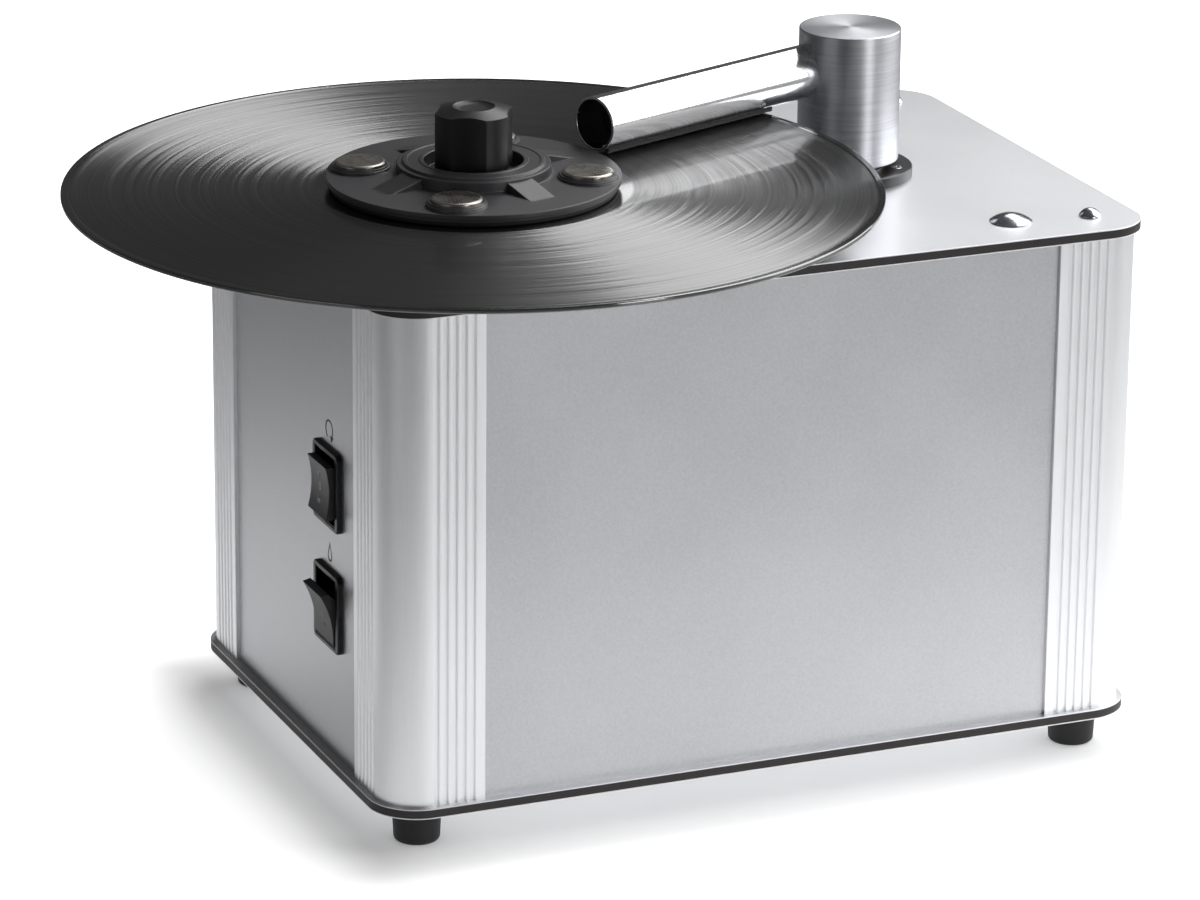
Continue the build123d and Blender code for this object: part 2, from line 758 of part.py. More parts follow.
with BuildPart() as drive_pillars:
    with BuildSketch(Plane.XY.offset(drive_plate_top)):
        with Locations(*pillar_places):
            Circle(pillar_radius)
            Circle(drive_screw_radius, mode=Mode.SUBTRACT)
    extrude(amount=lid_z - drive_plate_top)
drive_pillars.part.label = "drive_pillars"
export_step(drive_pillars.part, "parts/drive_pillars.step")

drive_screw = pan_screw(drive_screw_head_radius, drive_screw_head_height, drive_screw_radius,
                        drive_screw_length)
with BuildPart() as drive_screws:
    with Locations(*[(x, y, deck_z) for x, y in pillar_places]):
        add(drive_screw)
    with Locations(*[Location((x, y, drive_plate_z), (180, 0, 0)) for x, y in pillar_places]):
        add(drive_screw)
drive_screws.part.label = "drive_screws"
export_step(drive_screws.part, "parts/drive_screws.step")

with BuildPart() as drive_motor:
    with Locations((motor_x, motor_y, drive_plate_z)):
        Cylinder(drive_motor_radius, drive_motor_length, align=(Align.CENTER, Align.CENTER, Align.MAX))
        Cylinder(motor_shaft_radius + running_clearance, 2 * (motor_shaft_in_can + loose_clearance),
                 mode=Mode.SUBTRACT)
    chamfer(drive_motor.edges().group_by(Axis.Z)[0], drive_motor_edge)
drive_motor.part.label = "drive_motor"
export_step(drive_motor.part, "parts/drive_motor.step")


def gear_section(teeth, first_tooth, bore):
    """Involute spur gear section with one tooth centred on the first_tooth direction."""
    pitch = gear_module * teeth / 2
    pressure = radians(gear_pressure_angle)
    base = pitch * cos(pressure)
    root = pitch - gear_dedendum * gear_module
    tip = pitch + gear_addendum * gear_module
    start = max(base, root)
    half_at_pitch = pi / (2 * teeth) - gear_backlash / (2 * pitch)
    flank = []
    for step in range(5):
        radius = start + (tip - start) * step / 4
        roll = acos(min(1.0, base / radius))
        half = half_at_pitch + tan(pressure) - pressure - (tan(roll) - roll)
        flank.append((radius * cos(half), radius * sin(half)))
    inner = root - gear_module
    inner_half = atan2(flank[0][1], flank[0][0])
    foot = (inner * cos(inner_half), inner * sin(inner_half))
    upper = [foot] + flank
    lower = [(x, -y) for x, y in reversed(upper)]
    with BuildSketch() as section:
        Circle(root)
        with PolarLocations(0, teeth, first_tooth):
            Polygon(*upper, *lower, align=None)
        if bore > 0:
            Circle(bore, mode=Mode.SUBTRACT)
    return section.sketch


with BuildPart() as drive_gear:
    with BuildSketch(Plane(origin=(spindle_x, spindle_y, gear_z))):
        add(gear_section(gear_teeth, drive_motor_angle, spindle_radius))
        with PolarLocations((gear_hub_radius + gear_radius) / 2, 6):
            Circle((gear_radius - gear_hub_radius) / 4, mode=Mode.SUBTRACT)
    extrude(amount=gear_width)
drive_gear.part.label = "drive_gear"
export_step(drive_gear.part, "parts/drive_gear.step")

half_tooth = 180 / pinion_teeth
with BuildPart() as motor_pinion:
    with BuildSketch(Plane(origin=(motor_x, motor_y, gear_z))):
        add(gear_section(pinion_teeth, drive_motor_angle + 180 + half_tooth, 0))
    extrude(amount=gear_width)
    with BuildSketch(Plane(origin=(motor_x, motor_y, gear_z))):
        Circle(motor_shaft_radius)
    extrude(amount=-(gear_z - drive_plate_z + motor_shaft_in_can))
motor_pinion.part.label = "motor_pinion"
export_step(motor_pinion.part, "parts/motor_pinion.step")

spindle_step = platter_top - spindle_step_below
spindle_tip = record_top + spindle_pin_rise
with BuildPart() as spindle:
    add(turned(spindle_x, spindle_y, [
        (0, drive_plate_z),
        (spindle_radius, drive_plate_z),
        (spindle_radius, spindle_step),
        (spindle_pin_radius, spindle_step),
        (spindle_pin_radius, spindle_tip - spindle_tip_edge),
        (spindle_pin_radius - spindle_tip_edge, spindle_tip),
        (0, spindle_tip),
    ]))
spindle.part.label = "spindle"
export_step(spindle.part, "parts/spindle.step")

platter_hub_bottom = deck_z + bush_flange_thickness + loose_clearance
platter_bottom = platter_top - platter_thickness
with BuildPart() as platter:
    add(turned(spindle_x, spindle_y, [
        (spindle_radius, platter_hub_bottom),
        (platter_hub_radius, platter_hub_bottom),
        (platter_hub_radius, platter_bottom - platter_hub_taper),
        (platter_hub_radius + platter_hub_taper, platter_bottom),
        (platter_radius - platter_edge, platter_bottom),
        (platter_radius, platter_bottom + platter_edge),
        (platter_radius, platter_top),
        (spindle_pin_radius, platter_top),
        (spindle_pin_radius, spindle_step),
        (spindle_radius, spindle_step),
    ]))
platter.part.label = "platter"
export_step(platter.part, "parts/platter.step")

with BuildPart() as platter_mat:
    with BuildSketch(Plane(origin=(spindle_x, spindle_y, platter_top))):
        Circle(platter_radius - platter_edge)
        Circle(spindle_pin_radius, mode=Mode.SUBTRACT)
    extrude(amount=mat_thickness)
platter_mat.part.label = "platter_mat"
export_step(platter_mat.part, "parts/platter_mat.step")

bead_start = record_radius - record_bead
bead_edge = moulding_edge
with BuildPart() as record:
    add(turned(spindle_x, spindle_y, [
        (record_hole_radius, record_bottom),
        (label_radius, record_bottom),
        (label_radius + bead_edge, record_bottom + record_groove_relief),
        (bead_start, record_bottom + record_groove_relief),
        (bead_start + bead_edge, record_bottom),
        (record_radius - bead_edge, record_bottom),
        (record_radius, record_bottom + bead_edge),
        (record_radius, record_top - bead_edge),
        (record_radius - bead_edge, record_top),
        (bead_start + bead_edge, record_top),
        (bead_start, record_top - record_groove_relief),
        (label_radius + bead_edge, record_top - record_groove_relief),
        (label_radius, record_top),
        (record_hole_radius, record_top),
    ]))
record.part.label = "record"
export_step(record.part, "parts/record.step")

# ------------------------------------------------------------------ record clamp
hub_gap = loose_clearance
rim_step = 1.0
with BuildPart() as clamp_disc:
    add(turned(spindle_x, spindle_y, [
        (clamp_bush_radius, record_top + hub_gap),
        (clamp_hub_radius, record_top + hub_gap),
        (clamp_hub_radius, record_top + seal_thickness),
        (clamp_radius - rim_step, record_top + seal_thickness),
        (clamp_radius - rim_step, record_top + seal_thickness + rim_step),
        (clamp_radius, record_top + seal_thickness + rim_step + loose_clearance),
        (clamp_radius, record_top + clamp_rim_height - moulding_edge),
        (clamp_radius - moulding_edge, record_top + clamp_rim_height),
        (collar_radius, record_top + clamp_crown_height),
        (collar_radius, record_top + collar_shoulder_height - moulding_edge),
        (collar_radius - moulding_edge, record_top + collar_shoulder_height),
        (collar_top_radius + moulding_edge, record_top + collar_shoulder_height),
        (collar_top_radius, record_top + collar_top_height),
        (collar_well_radius + moulding_edge, record_top + collar_top_height),
        (collar_well_radius, record_top + collar_top_height - moulding_edge),
        (collar_well_radius, record_top + collar_well_floor),
        (clamp_bush_radius, record_top + collar_well_floor),
    ]))
    rib_start = collar_radius - 1.5
    for rib in range(weight_count):
        rib_angle = radians(clamp_angle + 360 / weight_count * (rib + 0.5))
        rib_plane = Plane(
            origin=(spindle_x, spindle_y, record_top),
            x_dir=(cos(rib_angle), sin(rib_angle), 0),
            z_dir=(sin(rib_angle), -cos(rib_angle), 0),
        )
        with BuildSketch(rib_plane):
            Polygon(
                (rib_start, collar_shoulder_height - rib_start_drop),
                (collar_radius + moulding_edge, collar_shoulder_height - rib_start_drop),
                (rib_reach, clamp_rim_height + rib_end_rise),
                (rib_reach, seal_thickness + rim_step),
                (rib_start, seal_thickness + rim_step),
                align=None,
            )
        extrude(amount=rib_width / 2, both=True)
    with Locations((spindle_x, spindle_y, record_top + seal_thickness + rim_step)):
        with PolarLocations(weight_circle, weight_count, clamp_angle):
            Cylinder(socket_radius, socket_height - seal_thickness - rim_step,
                     align=(Align.CENTER, Align.CENTER, Align.MIN))
            Cylinder(socket_step_radius, socket_step_height - seal_thickness - rim_step,
                     align=(Align.CENTER, Align.CENTER, Align.MIN))
    with Locations((spindle_x, spindle_y, record_top + weight_top - weight_thickness)):
        with PolarLocations(weight_circle, weight_count, clamp_angle):
            Cylinder(weight_radius + pocket_clearance, 2 * weight_thickness,
                     align=(Align.CENTER, Align.CENTER, Align.MIN), mode=Mode.SUBTRACT)
clamp_disc.part.label = "clamp_disc"
export_step(clamp_disc.part, "parts/clamp_disc.step")

with BuildPart() as clamp_seal:
    add(turned(spindle_x, spindle_y, [
        (seal_outer_radius - seal_width, record_top),
        (seal_outer_radius - moulding_edge, record_top),
        (seal_outer_radius, record_top + moulding_edge),
        (seal_outer_radius, record_top + seal_thickness),
        (seal_outer_radius - seal_width, record_top + seal_thickness),
    ]))
clamp_seal.part.label = "clamp_seal"
export_step(clamp_seal.part, "parts/clamp_seal.step")

clamp_bush_bore = spindle_pin_radius + 2 * running_clearance
clamp_bush_top = record_top + clamp_bush_rise
flange_top = record_top + collar_well_floor + clamp_bush_flange
with BuildPart() as clamp_bush:
    add(turned(spindle_x, spindle_y, [
        (clamp_bush_bore, record_top + hub_gap),
        (clamp_bush_radius, record_top + hub_gap),
        (clamp_bush_radius, record_top + collar_well_floor),
        (clamp_bush_flange_radius, record_top + collar_well_floor),
        (clamp_bush_flange_radius, flange_top),
        (clamp_bush_radius, flange_top),
        (clamp_bush_radius, clamp_bush_top),
        (clamp_bush_bore, clamp_bush_top),
    ]))
clamp_bush.part.label = "clamp_bush"
export_step(clamp_bush.part, "parts/clamp_bush.step")

with BuildPart() as clamp_weights:
    with Locations((spindle_x, spindle_y, record_top + weight_top - weight_thickness)):
        with PolarLocations(weight_circle, weight_count, clamp_angle):
            Cylinder(weight_radius, weight_thickness, align=(Align.CENTER, Align.CENTER, Align.MIN))
    fillet(clamp_weights.edges().group_by(Axis.Z)[-1], weight_edge)
clamp_weights.part.label = "clamp_weights"
export_step(clamp_weights.part, "parts/clamp_weights.step")

knob_bottom = flange_top + loose_clearance
knob_bore = clamp_bush_radius + pocket_clearance
flute_half = radians(knob_flute_angle / 2)
flute_chord = knob_radius * sin(flute_half)
flute_radius = (flute_chord ** 2 + knob_flute_sag ** 2) / (2 * knob_flute_sag)
flute_centre = knob_radius * cos(flute_half) - knob_flute_sag + flute_radius
with BuildPart() as clamp_knob:
    add(turned(spindle_x, spindle_y, [
        (0, clamp_bush_top + loose_clearance),
        (knob_bore, clamp_bush_top + loose_clearance),
        (knob_bore, knob_bottom),
        (knob_radius, knob_bottom),
        (knob_radius, record_top + knob_shoulder_height),
        (knob_dish_radius, record_top + knob_top_height),
        (knob_dish_radius - knob_dish_depth, record_top + knob_top_height - knob_dish_depth / 2),
        (0, record_top + knob_top_height - knob_dish_depth),
    ]))
    with Locations((spindle_x, spindle_y, knob_bottom)):
        with PolarLocations(flute_centre, flute_count, clamp_angle):
            Cylinder(flute_radius, 2 * knob_top_height, mode=Mode.SUBTRACT)
clamp_knob.part.label = "clamp_knob"
export_step(clamp_knob.part, "parts/clamp_knob.step")

# ------------------------------------------------------------------ column and lift
with BuildPart() as column_flange:
    add(turned(column_x, column_y, [
        (lift_pipe_radius + flange_clearance, deck_z),
        (flange_radius, deck_z),
        (flange_radius, deck_z + flange_height - flange_edge),
        (flange_radius - flange_edge, deck_z + flange_height),
        (lift_pipe_radius + flange_clearance, deck_z + flange_height),
    ]))
    with Locations((column_x, column_y, deck_z + flange_height)):
        with PolarLocations(flange_screw_circle, flange_screw_count, flange_screw_angle):
            CounterSinkHole(flange_screw_radius, flange_screw_head_radius + pocket_clearance,
                            depth=2 * flange_height)
column_flange.part.label = "column_flange"
export_step(column_flange.part, "parts/column_flange.step")

screw_head_z = deck_z + flange_height - pocket_clearance
head_cone = flange_screw_head_radius - flange_screw_radius
with BuildPart() as flange_screws:
    with Locations((column_x, column_y, screw_head_z)):
        with PolarLocations(flange_screw_circle, flange_screw_count, flange_screw_angle):
            Cone(flange_screw_radius, flange_screw_head_radius, head_cone,
                 align=(Align.CENTER, Align.CENTER, Align.MAX))
            Cylinder(flange_screw_radius, flange_screw_length,
                     align=(Align.CENTER, Align.CENTER, Align.MAX))
            Box(flange_screw_head_radius, flange_screw_slot, 2 * flange_screw_slot_depth,
                mode=Mode.SUBTRACT)
            Box(flange_screw_slot, flange_screw_head_radius, 2 * flange_screw_slot_depth,
                mode=Mode.SUBTRACT)
flange_screws.part.label = "flange_screws"
export_step(flange_screws.part, "parts/flange_screws.step")

guide_bore = lift_pipe_radius + running_clearance
guide_bottom = deck_z - guide_length
with BuildPart() as guide_sleeve:
    add(turned(column_x, column_y, [
        (guide_bore, guide_bottom),
        (guide_radius, guide_bottom),
        (guide_radius, lid_z - guide_flange_thickness),
        (guide_flange_radius, lid_z - guide_flange_thickness),
        (guide_flange_radius, lid_z),
        (guide_radius, lid_z),
        (guide_radius, deck_z),
        (guide_bore, deck_z),
    ]))
    with Locations((column_x, column_y, lid_z)):
        with PolarLocations(flange_screw_circle, flange_screw_count, flange_screw_angle):
            Cylinder(flange_screw_radius, 4 * guide_flange_thickness, mode=Mode.SUBTRACT)
guide_sleeve.part.label = "guide_sleeve"
export_step(guide_sleeve.part, "parts/guide_sleeve.step")

tube_bottom = tube_z - tube_radius
lift_pipe_top = tube_bottom - 2 * loose_clearance
with BuildPart() as lift_pipe:
    with BuildSketch(Plane(origin=(column_x, column_y, lift_pipe_top))):
        Circle(lift_pipe_radius)
        Circle(lift_pipe_radius - lift_pipe_wall, mode=Mode.SUBTRACT)
    extrude(amount=-lift_pipe_length)
lift_pipe.part.label = "lift_pipe"
export_step(lift_pipe.part, "parts/lift_pipe.step")

with BuildPart() as column_bushes:
    for bush_z in (column_bottom, lift_pipe_top - column_bush_length):
        with BuildSketch(Plane(origin=(column_x, column_y, bush_z))):
            Circle(column_bore)
            Circle(lift_pipe_radius + running_clearance, mode=Mode.SUBTRACT)
        extrude(amount=column_bush_length)
column_bushes.part.label = "column_bushes"
export_step(column_bushes.part, "parts/column_bushes.step")

# The tube runs along local x of this plane, over the spindle and past the column's axis.
arm_x = (cos(radians(arm_angle)), sin(radians(arm_angle)), 0)
arm_start = (column_x + tube_offset * arm_x[1], column_y - tube_offset * arm_x[0], tube_z)
arm_frame = Plane(origin=arm_start, x_dir=arm_x, z_dir=(0, 0, 1))
arm_section = Plane(origin=arm_start, x_dir=(-arm_x[1], arm_x[0], 0), z_dir=arm_x)
plenum_top = tube_z + tube_radius + loose_clearance
with BuildPart() as arm_column:
    add(turned(column_x, column_y, [
        (column_bore, column_bottom),
        (column_radius, column_bottom),
        (column_radius, column_top - moulding_edge),
        (column_radius - moulding_edge, column_top),
        (0, column_top),
        (0, plenum_top),
        (column_bore, plenum_top),
    ]))
    with BuildSketch(arm_section.offset(tube_root)):
        Circle(tube_radius)
    extrude(amount=column_radius, mode=Mode.SUBTRACT)
arm_column.part.label = "arm_column"
export_step(arm_column.part, "parts/arm_column.step")

slot_length = velvet_length
slot_middle = tube_reach - velvet_start - slot_length / 2
with BuildPart() as arm_tube:
    with BuildSketch(arm_section.offset(tube_root)):
        Circle(tube_radius)
        Circle(tube_radius - tube_wall, mode=Mode.SUBTRACT)
    extrude(amount=tube_reach - tube_root)
    with BuildSketch(arm_frame.offset(-tube_radius - tube_wall)):
        with Locations((slot_middle, 0)):
            SlotOverall(slot_length, suction_slot_width)
    extrude(amount=3 * tube_wall, mode=Mode.SUBTRACT)
arm_tube.part.label = "arm_tube"
export_step(arm_tube.part, "parts/arm_tube.step")

with BuildPart() as tube_end_plug:
    with BuildSketch(arm_section.offset(tube_reach - plug_recess - plug_thickness)):
        Circle(tube_radius - tube_wall)
    extrude(amount=plug_thickness)
tube_end_plug.part.label = "tube_end_plug"
export_step(tube_end_plug.part, "parts/tube_end_plug.step")

velvet_bottom = record_top + velvet_clearance
velvet_side = (suction_slot_width + velvet_width) / 2
with BuildPart() as velvet_strips:
    with BuildSketch(arm_frame.offset(velvet_bottom - tube_z)):
        with Locations((slot_middle, velvet_side), (slot_middle, -velvet_side)):
            Rectangle(slot_length, velvet_width)
    extrude(amount=tube_radius / 2)
    with BuildSketch(arm_section):
        Circle(tube_radius)
    extrude(amount=tube_reach, mode=Mode.SUBTRACT)
velvet_strips.part.label = "velvet_strips"
export_step(velvet_strips.part, "parts/velvet_strips.step")

# ------------------------------------------------------------------ suction fan
with BuildPart() as motor_mount_ring:
    with BuildSketch(Plane(origin=(fan_x, fan_y, case_z))):
        Circle(mount_ring_radius)
        Circle(mount_ring_radius - mount_ring_width, mode=Mode.SUBTRACT)
    extrude(amount=mount_ring_height)
motor_mount_ring.part.label = "motor_mount_ring"
export_step(motor_mount_ring.part, "parts/motor_mount_ring.step")

fan_shaft_bore = fan_shaft_radius + running_clearance
with BuildPart() as vacuum_motor:
    with Locations((fan_x, fan_y, fan_base)):
        Cylinder(vacuum_motor_radius, vacuum_motor_height, align=(Align.CENTER, Align.CENTER, Align.MAX))
        Cylinder(fan_shaft_bore, 2 * (fan_shaft_in_motor + loose_clearance), mode=Mode.SUBTRACT)
vacuum_motor.part.label = "vacuum_motor"
export_step(vacuum_motor.part, "parts/vacuum_motor.step")

back_panel_inside = body_width / 2 - panel_back
duct_length = back_panel_inside - fan_y
with BuildPart() as fan_housing:
    with Locations((fan_x, fan_y, fan_base)):
        Cylinder(fan_radius, fan_height, align=(Align.CENTER, Align.CENTER, Align.MIN))
    with Locations((fan_x, fan_y, exhaust_z)):
        Box(exhaust_width, duct_length, exhaust_height, align=(Align.CENTER, Align.MIN, Align.CENTER))
    with Locations((fan_x, fan_y, fan_base + fan_wall)):
        Cylinder(fan_radius - fan_wall, fan_height - 2 * fan_wall,
                 align=(Align.CENTER, Align.CENTER, Align.MIN), mode=Mode.SUBTRACT)
    with Locations((fan_x, fan_y, exhaust_z)):
        Box(exhaust_width - 2 * fan_wall, duct_length, exhaust_height - 2 * fan_wall,
            align=(Align.CENTER, Align.MIN, Align.CENTER), mode=Mode.SUBTRACT)
    with Locations((fan_x, fan_y, fan_top)):
        Cylinder(hose_radius + fan_wall, spigot_length, align=(Align.CENTER, Align.CENTER, Align.MIN))
        Cylinder(hose_radius, 2 * spigot_length, mode=Mode.SUBTRACT)
    with Locations((fan_x, fan_y, fan_base)):
        Cylinder(fan_shaft_radius + loose_clearance, 4 * fan_wall, mode=Mode.SUBTRACT)
fan_housing.part.label = "fan_housing"
export_step(fan_housing.part, "parts/fan_housing.step")

impeller_z = fan_base + fan_wall + impeller_gap
with BuildPart() as impeller:
    with Locations((fan_x, fan_y, impeller_z)):
        Cylinder(impeller_radius, impeller_plate, align=(Align.CENTER, Align.CENTER, Align.MIN))
        Cylinder(2 * fan_shaft_radius, impeller_plate + blade_height,
                 align=(Align.CENTER, Align.CENTER, Align.MIN))
        Cylinder(fan_shaft_radius, impeller_z - fan_base + fan_shaft_in_motor,
                 align=(Align.CENTER, Align.CENTER, Align.MAX))
    blade_circle = impeller_radius - blade_length / 2 - 2 * blade_thickness
    with Locations((fan_x, fan_y, impeller_z)):
        with PolarLocations(blade_circle, blade_count):
            Box(blade_length, blade_thickness, impeller_plate + blade_height,
                rotation=(0, 0, blade_angle), align=(Align.CENTER, Align.CENTER, Align.MIN))
impeller.part.label = "impeller"
export_step(impeller.part, "parts/impeller.step")

with BuildPart() as vacuum_hose:
    with BuildLine() as hose_path:
        FilletPolyline(
            (tank_spigot_x, fan_y, lid_top),
            (tank_spigot_x, fan_y, hose_z),
            (fan_x, fan_y, hose_z),
            (fan_x, fan_y, fan_top),
            radius=hose_bend,
        )
    with BuildSketch(Plane(origin=(tank_spigot_x, fan_y, lid_top))):
        Circle(hose_radius)
        Circle(hose_radius - hose_wall, mode=Mode.SUBTRACT)
    sweep(path=hose_path.line)
vacuum_hose.part.label = "vacuum_hose"
export_step(vacuum_hose.part, "parts/vacuum_hose.step")

grille_width = exhaust_width + 2 * grille_frame
grille_height = exhaust_height + 2 * grille_frame
slat_pitch = exhaust_height / grille_slots
with BuildPart() as exhaust_grille:
    back_face = Plane(origin=(fan_x, back_face_y, exhaust_z), x_dir=(-1, 0, 0), z_dir=(0, 1, 0))
    with BuildSketch(back_face):
        RectangleRounded(grille_width, grille_height, grille_frame / 2)
        with GridLocations(0, slat_pitch, 1, grille_slots):
            Rectangle(exhaust_width - 2, grille_slot_height, mode=Mode.SUBTRACT)
    extrude(amount=grille_thickness)
    chamfer(exhaust_grille.faces().sort_by(Axis.Y)[-1].outer_wire().edges(), grille_thickness / 4)
exhaust_grille.part.label = "exhaust_grille"
export_step(exhaust_grille.part, "parts/exhaust_grille.step")

# ------------------------------------------------------------------ waste tank
with BuildPart() as waste_tank:
    with BuildSketch(Plane(origin=(tank_x, tank_y, case_z))):
        RectangleRounded(tank_length, tank_width, tank_corner)
    extrude(amount=tank_height)
    with BuildSketch(Plane(origin=(tank_x, tank_y, case_z + tank_wall))):
        RectangleRounded(tank_length - 2 * tank_wall, tank_width - 2 * tank_wall,
                         tank_corner - tank_wall)
    extrude(amount=tank_height, mode=Mode.SUBTRACT)
    with Locations((drain_x, tank_back, drain_z)):
        Cylinder(drain_bore, 4 * tank_wall, rotation=(90, 0, 0), mode=Mode.SUBTRACT)
waste_tank.part.label = "waste_tank"
export_step(waste_tank.part, "parts/waste_tank.step")

with BuildPart() as tank_lid:
    with BuildSketch(Plane(origin=(tank_x, tank_y, tank_top))):
        RectangleRounded(tank_length + 2 * tank_lid_overhang, tank_width + 2 * tank_lid_overhang,
                         tank_corner + tank_lid_overhang)
    extrude(amount=tank_lid_thickness)
    with BuildSketch(Plane(origin=(tank_spigot_x, fan_y, lid_top))):
        Circle(hose_radius + fan_wall)
    extrude(amount=spigot_length)
    with BuildSketch(Plane(origin=(tank_spigot_x, fan_y, lid_top))):
        Circle(hose_radius)
    extrude(amount=spigot_length, mode=Mode.SUBTRACT)
    with Locations((tank_spigot_x, fan_y, lid_top)):
        Cylinder(hose_radius - hose_wall, 4 * tank_lid_thickness, mode=Mode.SUBTRACT)
    with Locations((column_x, column_y, lid_top)):
        Cylinder(guide_radius, 4 * tank_lid_thickness, mode=Mode.SUBTRACT)
tank_lid.part.label = "tank_lid"
export_step(tank_lid.part, "parts/tank_lid.step")

# ------------------------------------------------------------------ drain valve
valve_y = back_face_y + valve_length / 2
drain_axis = Plane(origin=(drain_x, tank_back, drain_z), x_dir=(1, 0, 0), z_dir=(0, 1, 0))
with BuildPart() as drain_valve:
    with BuildSketch(drain_axis):
        Circle(drain_pipe_radius)
    extrude(amount=back_face_y - tank_back)
    with BuildSketch(drain_axis.offset(back_face_y - tank_back)):
        Circle(valve_radius)
    extrude(amount=valve_length)
    with BuildSketch(drain_axis.offset(back_face_y - tank_back + valve_length)):
        Circle(spout_radius)
    extrude(amount=spout_length)
    with BuildSketch(drain_axis):
        Circle(drain_bore)
    extrude(amount=back_face_y - tank_back + valve_length + spout_length, mode=Mode.SUBTRACT)
    with Locations((drain_x, valve_y, drain_z)):
        Cylinder(valve_stem_radius + running_clearance, 2 * valve_radius,
                 align=(Align.CENTER, Align.CENTER, Align.MIN), mode=Mode.SUBTRACT)
drain_valve.part.label = "drain_valve"
export_step(drain_valve.part, "parts/drain_valve.step")

lever_z = drain_z + valve_radius + loose_clearance
with BuildPart() as drain_lever:
    with Locations((drain_x, valve_y, drain_z + drain_bore)):
        Cylinder(valve_stem_radius, lever_z - drain_z - drain_bore + lever_thickness,
                 align=(Align.CENTER, Align.CENTER, Align.MIN))
    with BuildSketch(Plane(origin=(drain_x, valve_y, lever_z))):
        with Locations((lever_length / 2, 0)):
            SlotCenterToCenter(lever_length, lever_width)
    extrude(amount=lever_thickness)
    chamfer(drain_lever.edges().group_by(Axis.Z)[-1], lever_thickness / 5)
drain_lever.part.label = "drain_lever"
export_step(drain_lever.part, "parts/drain_lever.step")

# ------------------------------------------------------------------ mains inlet
inlet_face = Plane(origin=(inlet_x, back_face_y, inlet_z), x_dir=(-1, 0, 0), z_dir=(0, 1, 0))
with BuildPart() as mains_inlet:
    with BuildSketch(inlet_face):
        RectangleRounded(inlet_width + 2 * inlet_lip, inlet_height + 2 * inlet_lip, inlet_lip)
    extrude(amount=inlet_flange)
    chamfer(mains_inlet.edges().group_by(Axis.Y)[-1], inlet_flange / 4)
    with BuildSketch(inlet_face):
        Rectangle(inlet_width, inlet_height)
    extrude(amount=-inlet_depth)
    with BuildSketch(inlet_face.offset(inlet_flange)):
        RectangleRounded(socket_width, socket_opening, inlet_lip)
    extrude(amount=-socket_depth, mode=Mode.SUBTRACT)
mains_inlet.part.label = "mains_inlet"
export_step(mains_inlet.part, "parts/mains_inlet.step")

prong_root = inlet_face.offset(inlet_flange - socket_depth)
with BuildPart() as inlet_prongs:
    with BuildSketch(prong_root):
        with Locations((0, prong_height / 2), (prong_spacing, -prong_height / 4),
                       (-prong_spacing, -prong_height / 4)):
            Rectangle(prong_thickness, prong_height)
    extrude(amount=prong_length)
inlet_prongs.part.label = "inlet_prongs"
export_step(inlet_prongs.part, "parts/inlet_prongs.step")

# ------------------------------------------------------------------ supply board
bracket_y = dome_bolt_y + bracket_offset
with BuildPart() as board_bracket:
    with Locations((dome_bolt_x, bracket_y, lid_z)):
        Box(bracket_width, bracket_thickness, bracket_drop, align=(Align.CENTER, Align.MIN, Align.MAX))
        Box(bracket_width, bracket_y - dome_bolt_y + 2 * dome_bolt_shank_radius, bracket_thickness,
            align=(Align.CENTER, Align.MAX, Align.MAX))
    with Locations((dome_bolt_x, dome_bolt_y, lid_z)):
        Cylinder(dome_bolt_shank_radius, 4 * bracket_thickness, mode=Mode.SUBTRACT)
board_bracket.part.label = "board_bracket"
export_step(board_bracket.part, "parts/board_bracket.step")

board_y = bracket_y - board_standoff
board_z = lid_z - bracket_drop + board_height / 2
with BuildPart() as power_board:
    with Locations((dome_bolt_x, board_y, board_z)):
        Box(board_width, board_thickness, board_height, align=(Align.CENTER, Align.MAX, Align.CENTER))
    with BuildSketch(Plane(origin=(dome_bolt_x, board_y, board_z), x_dir=(1, 0, 0), z_dir=(0, 1, 0))):
        with GridLocations(board_width - 2 * standoff_inset, 0, 2, 1):
            Circle(standoff_radius)
    extrude(amount=board_standoff)
    with Locations((dome_bolt_x - board_width / 5, board_y - board_thickness, board_z)):
        Box(transformer_size, transformer_depth, transformer_size,
            align=(Align.CENTER, Align.MAX, Align.CENTER))
    with Locations((dome_bolt_x + board_width / 4, board_y - board_thickness, board_z)):
        Cylinder(capacitor_radius, capacitor_height, rotation=(90, 0, 0),
                 align=(Align.CENTER, Align.CENTER, Align.MIN))
power_board.part.label = "power_board"
export_step(power_board.part, "parts/power_board.step")

# ------------------------------------------------------------------ wiring
loom_z = case_z + loom_radius
loom_x = left_face_x + housing_depth + 2 * loom_radius
loom_y = tank_y - tank_width / 2 - 3 * loom_radius
with BuildPart() as wiring_loom:
    with BuildLine() as loom_path:
        FilletPolyline(
            (loom_x, switch_y, motor_switch_z),
            (loom_x, switch_y, loom_z),
            (loom_x + loom_slant, loom_y, loom_z),
            (dome_bolt_x, loom_y, loom_z),
            (dome_bolt_x, loom_y, board_z - board_height / 2),
            radius=loom_bend,
        )
    with BuildSketch(Plane(origin=(loom_x, switch_y, motor_switch_z))):
        Circle(loom_radius)
    sweep(path=loom_path.line)
wiring_loom.part.label = "wiring_loom"
export_step(wiring_loom.part, "parts/wiring_loom.step")
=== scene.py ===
"""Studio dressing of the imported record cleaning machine.

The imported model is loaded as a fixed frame.  Turned, bevelled and finished pieces then
stand for its visible nodes, every node gets the finish of its real material, and a plain
studio is put round it.  Sizes are in millimetres and are turned to metres by MM.
"""

import json
import logging
import math
from dataclasses import dataclass, field
from enum import Enum
from typing import Any, Callable, Dict, List, Optional, Sequence, Tuple

import bmesh
import bpy
from mathutils import Matrix, Vector


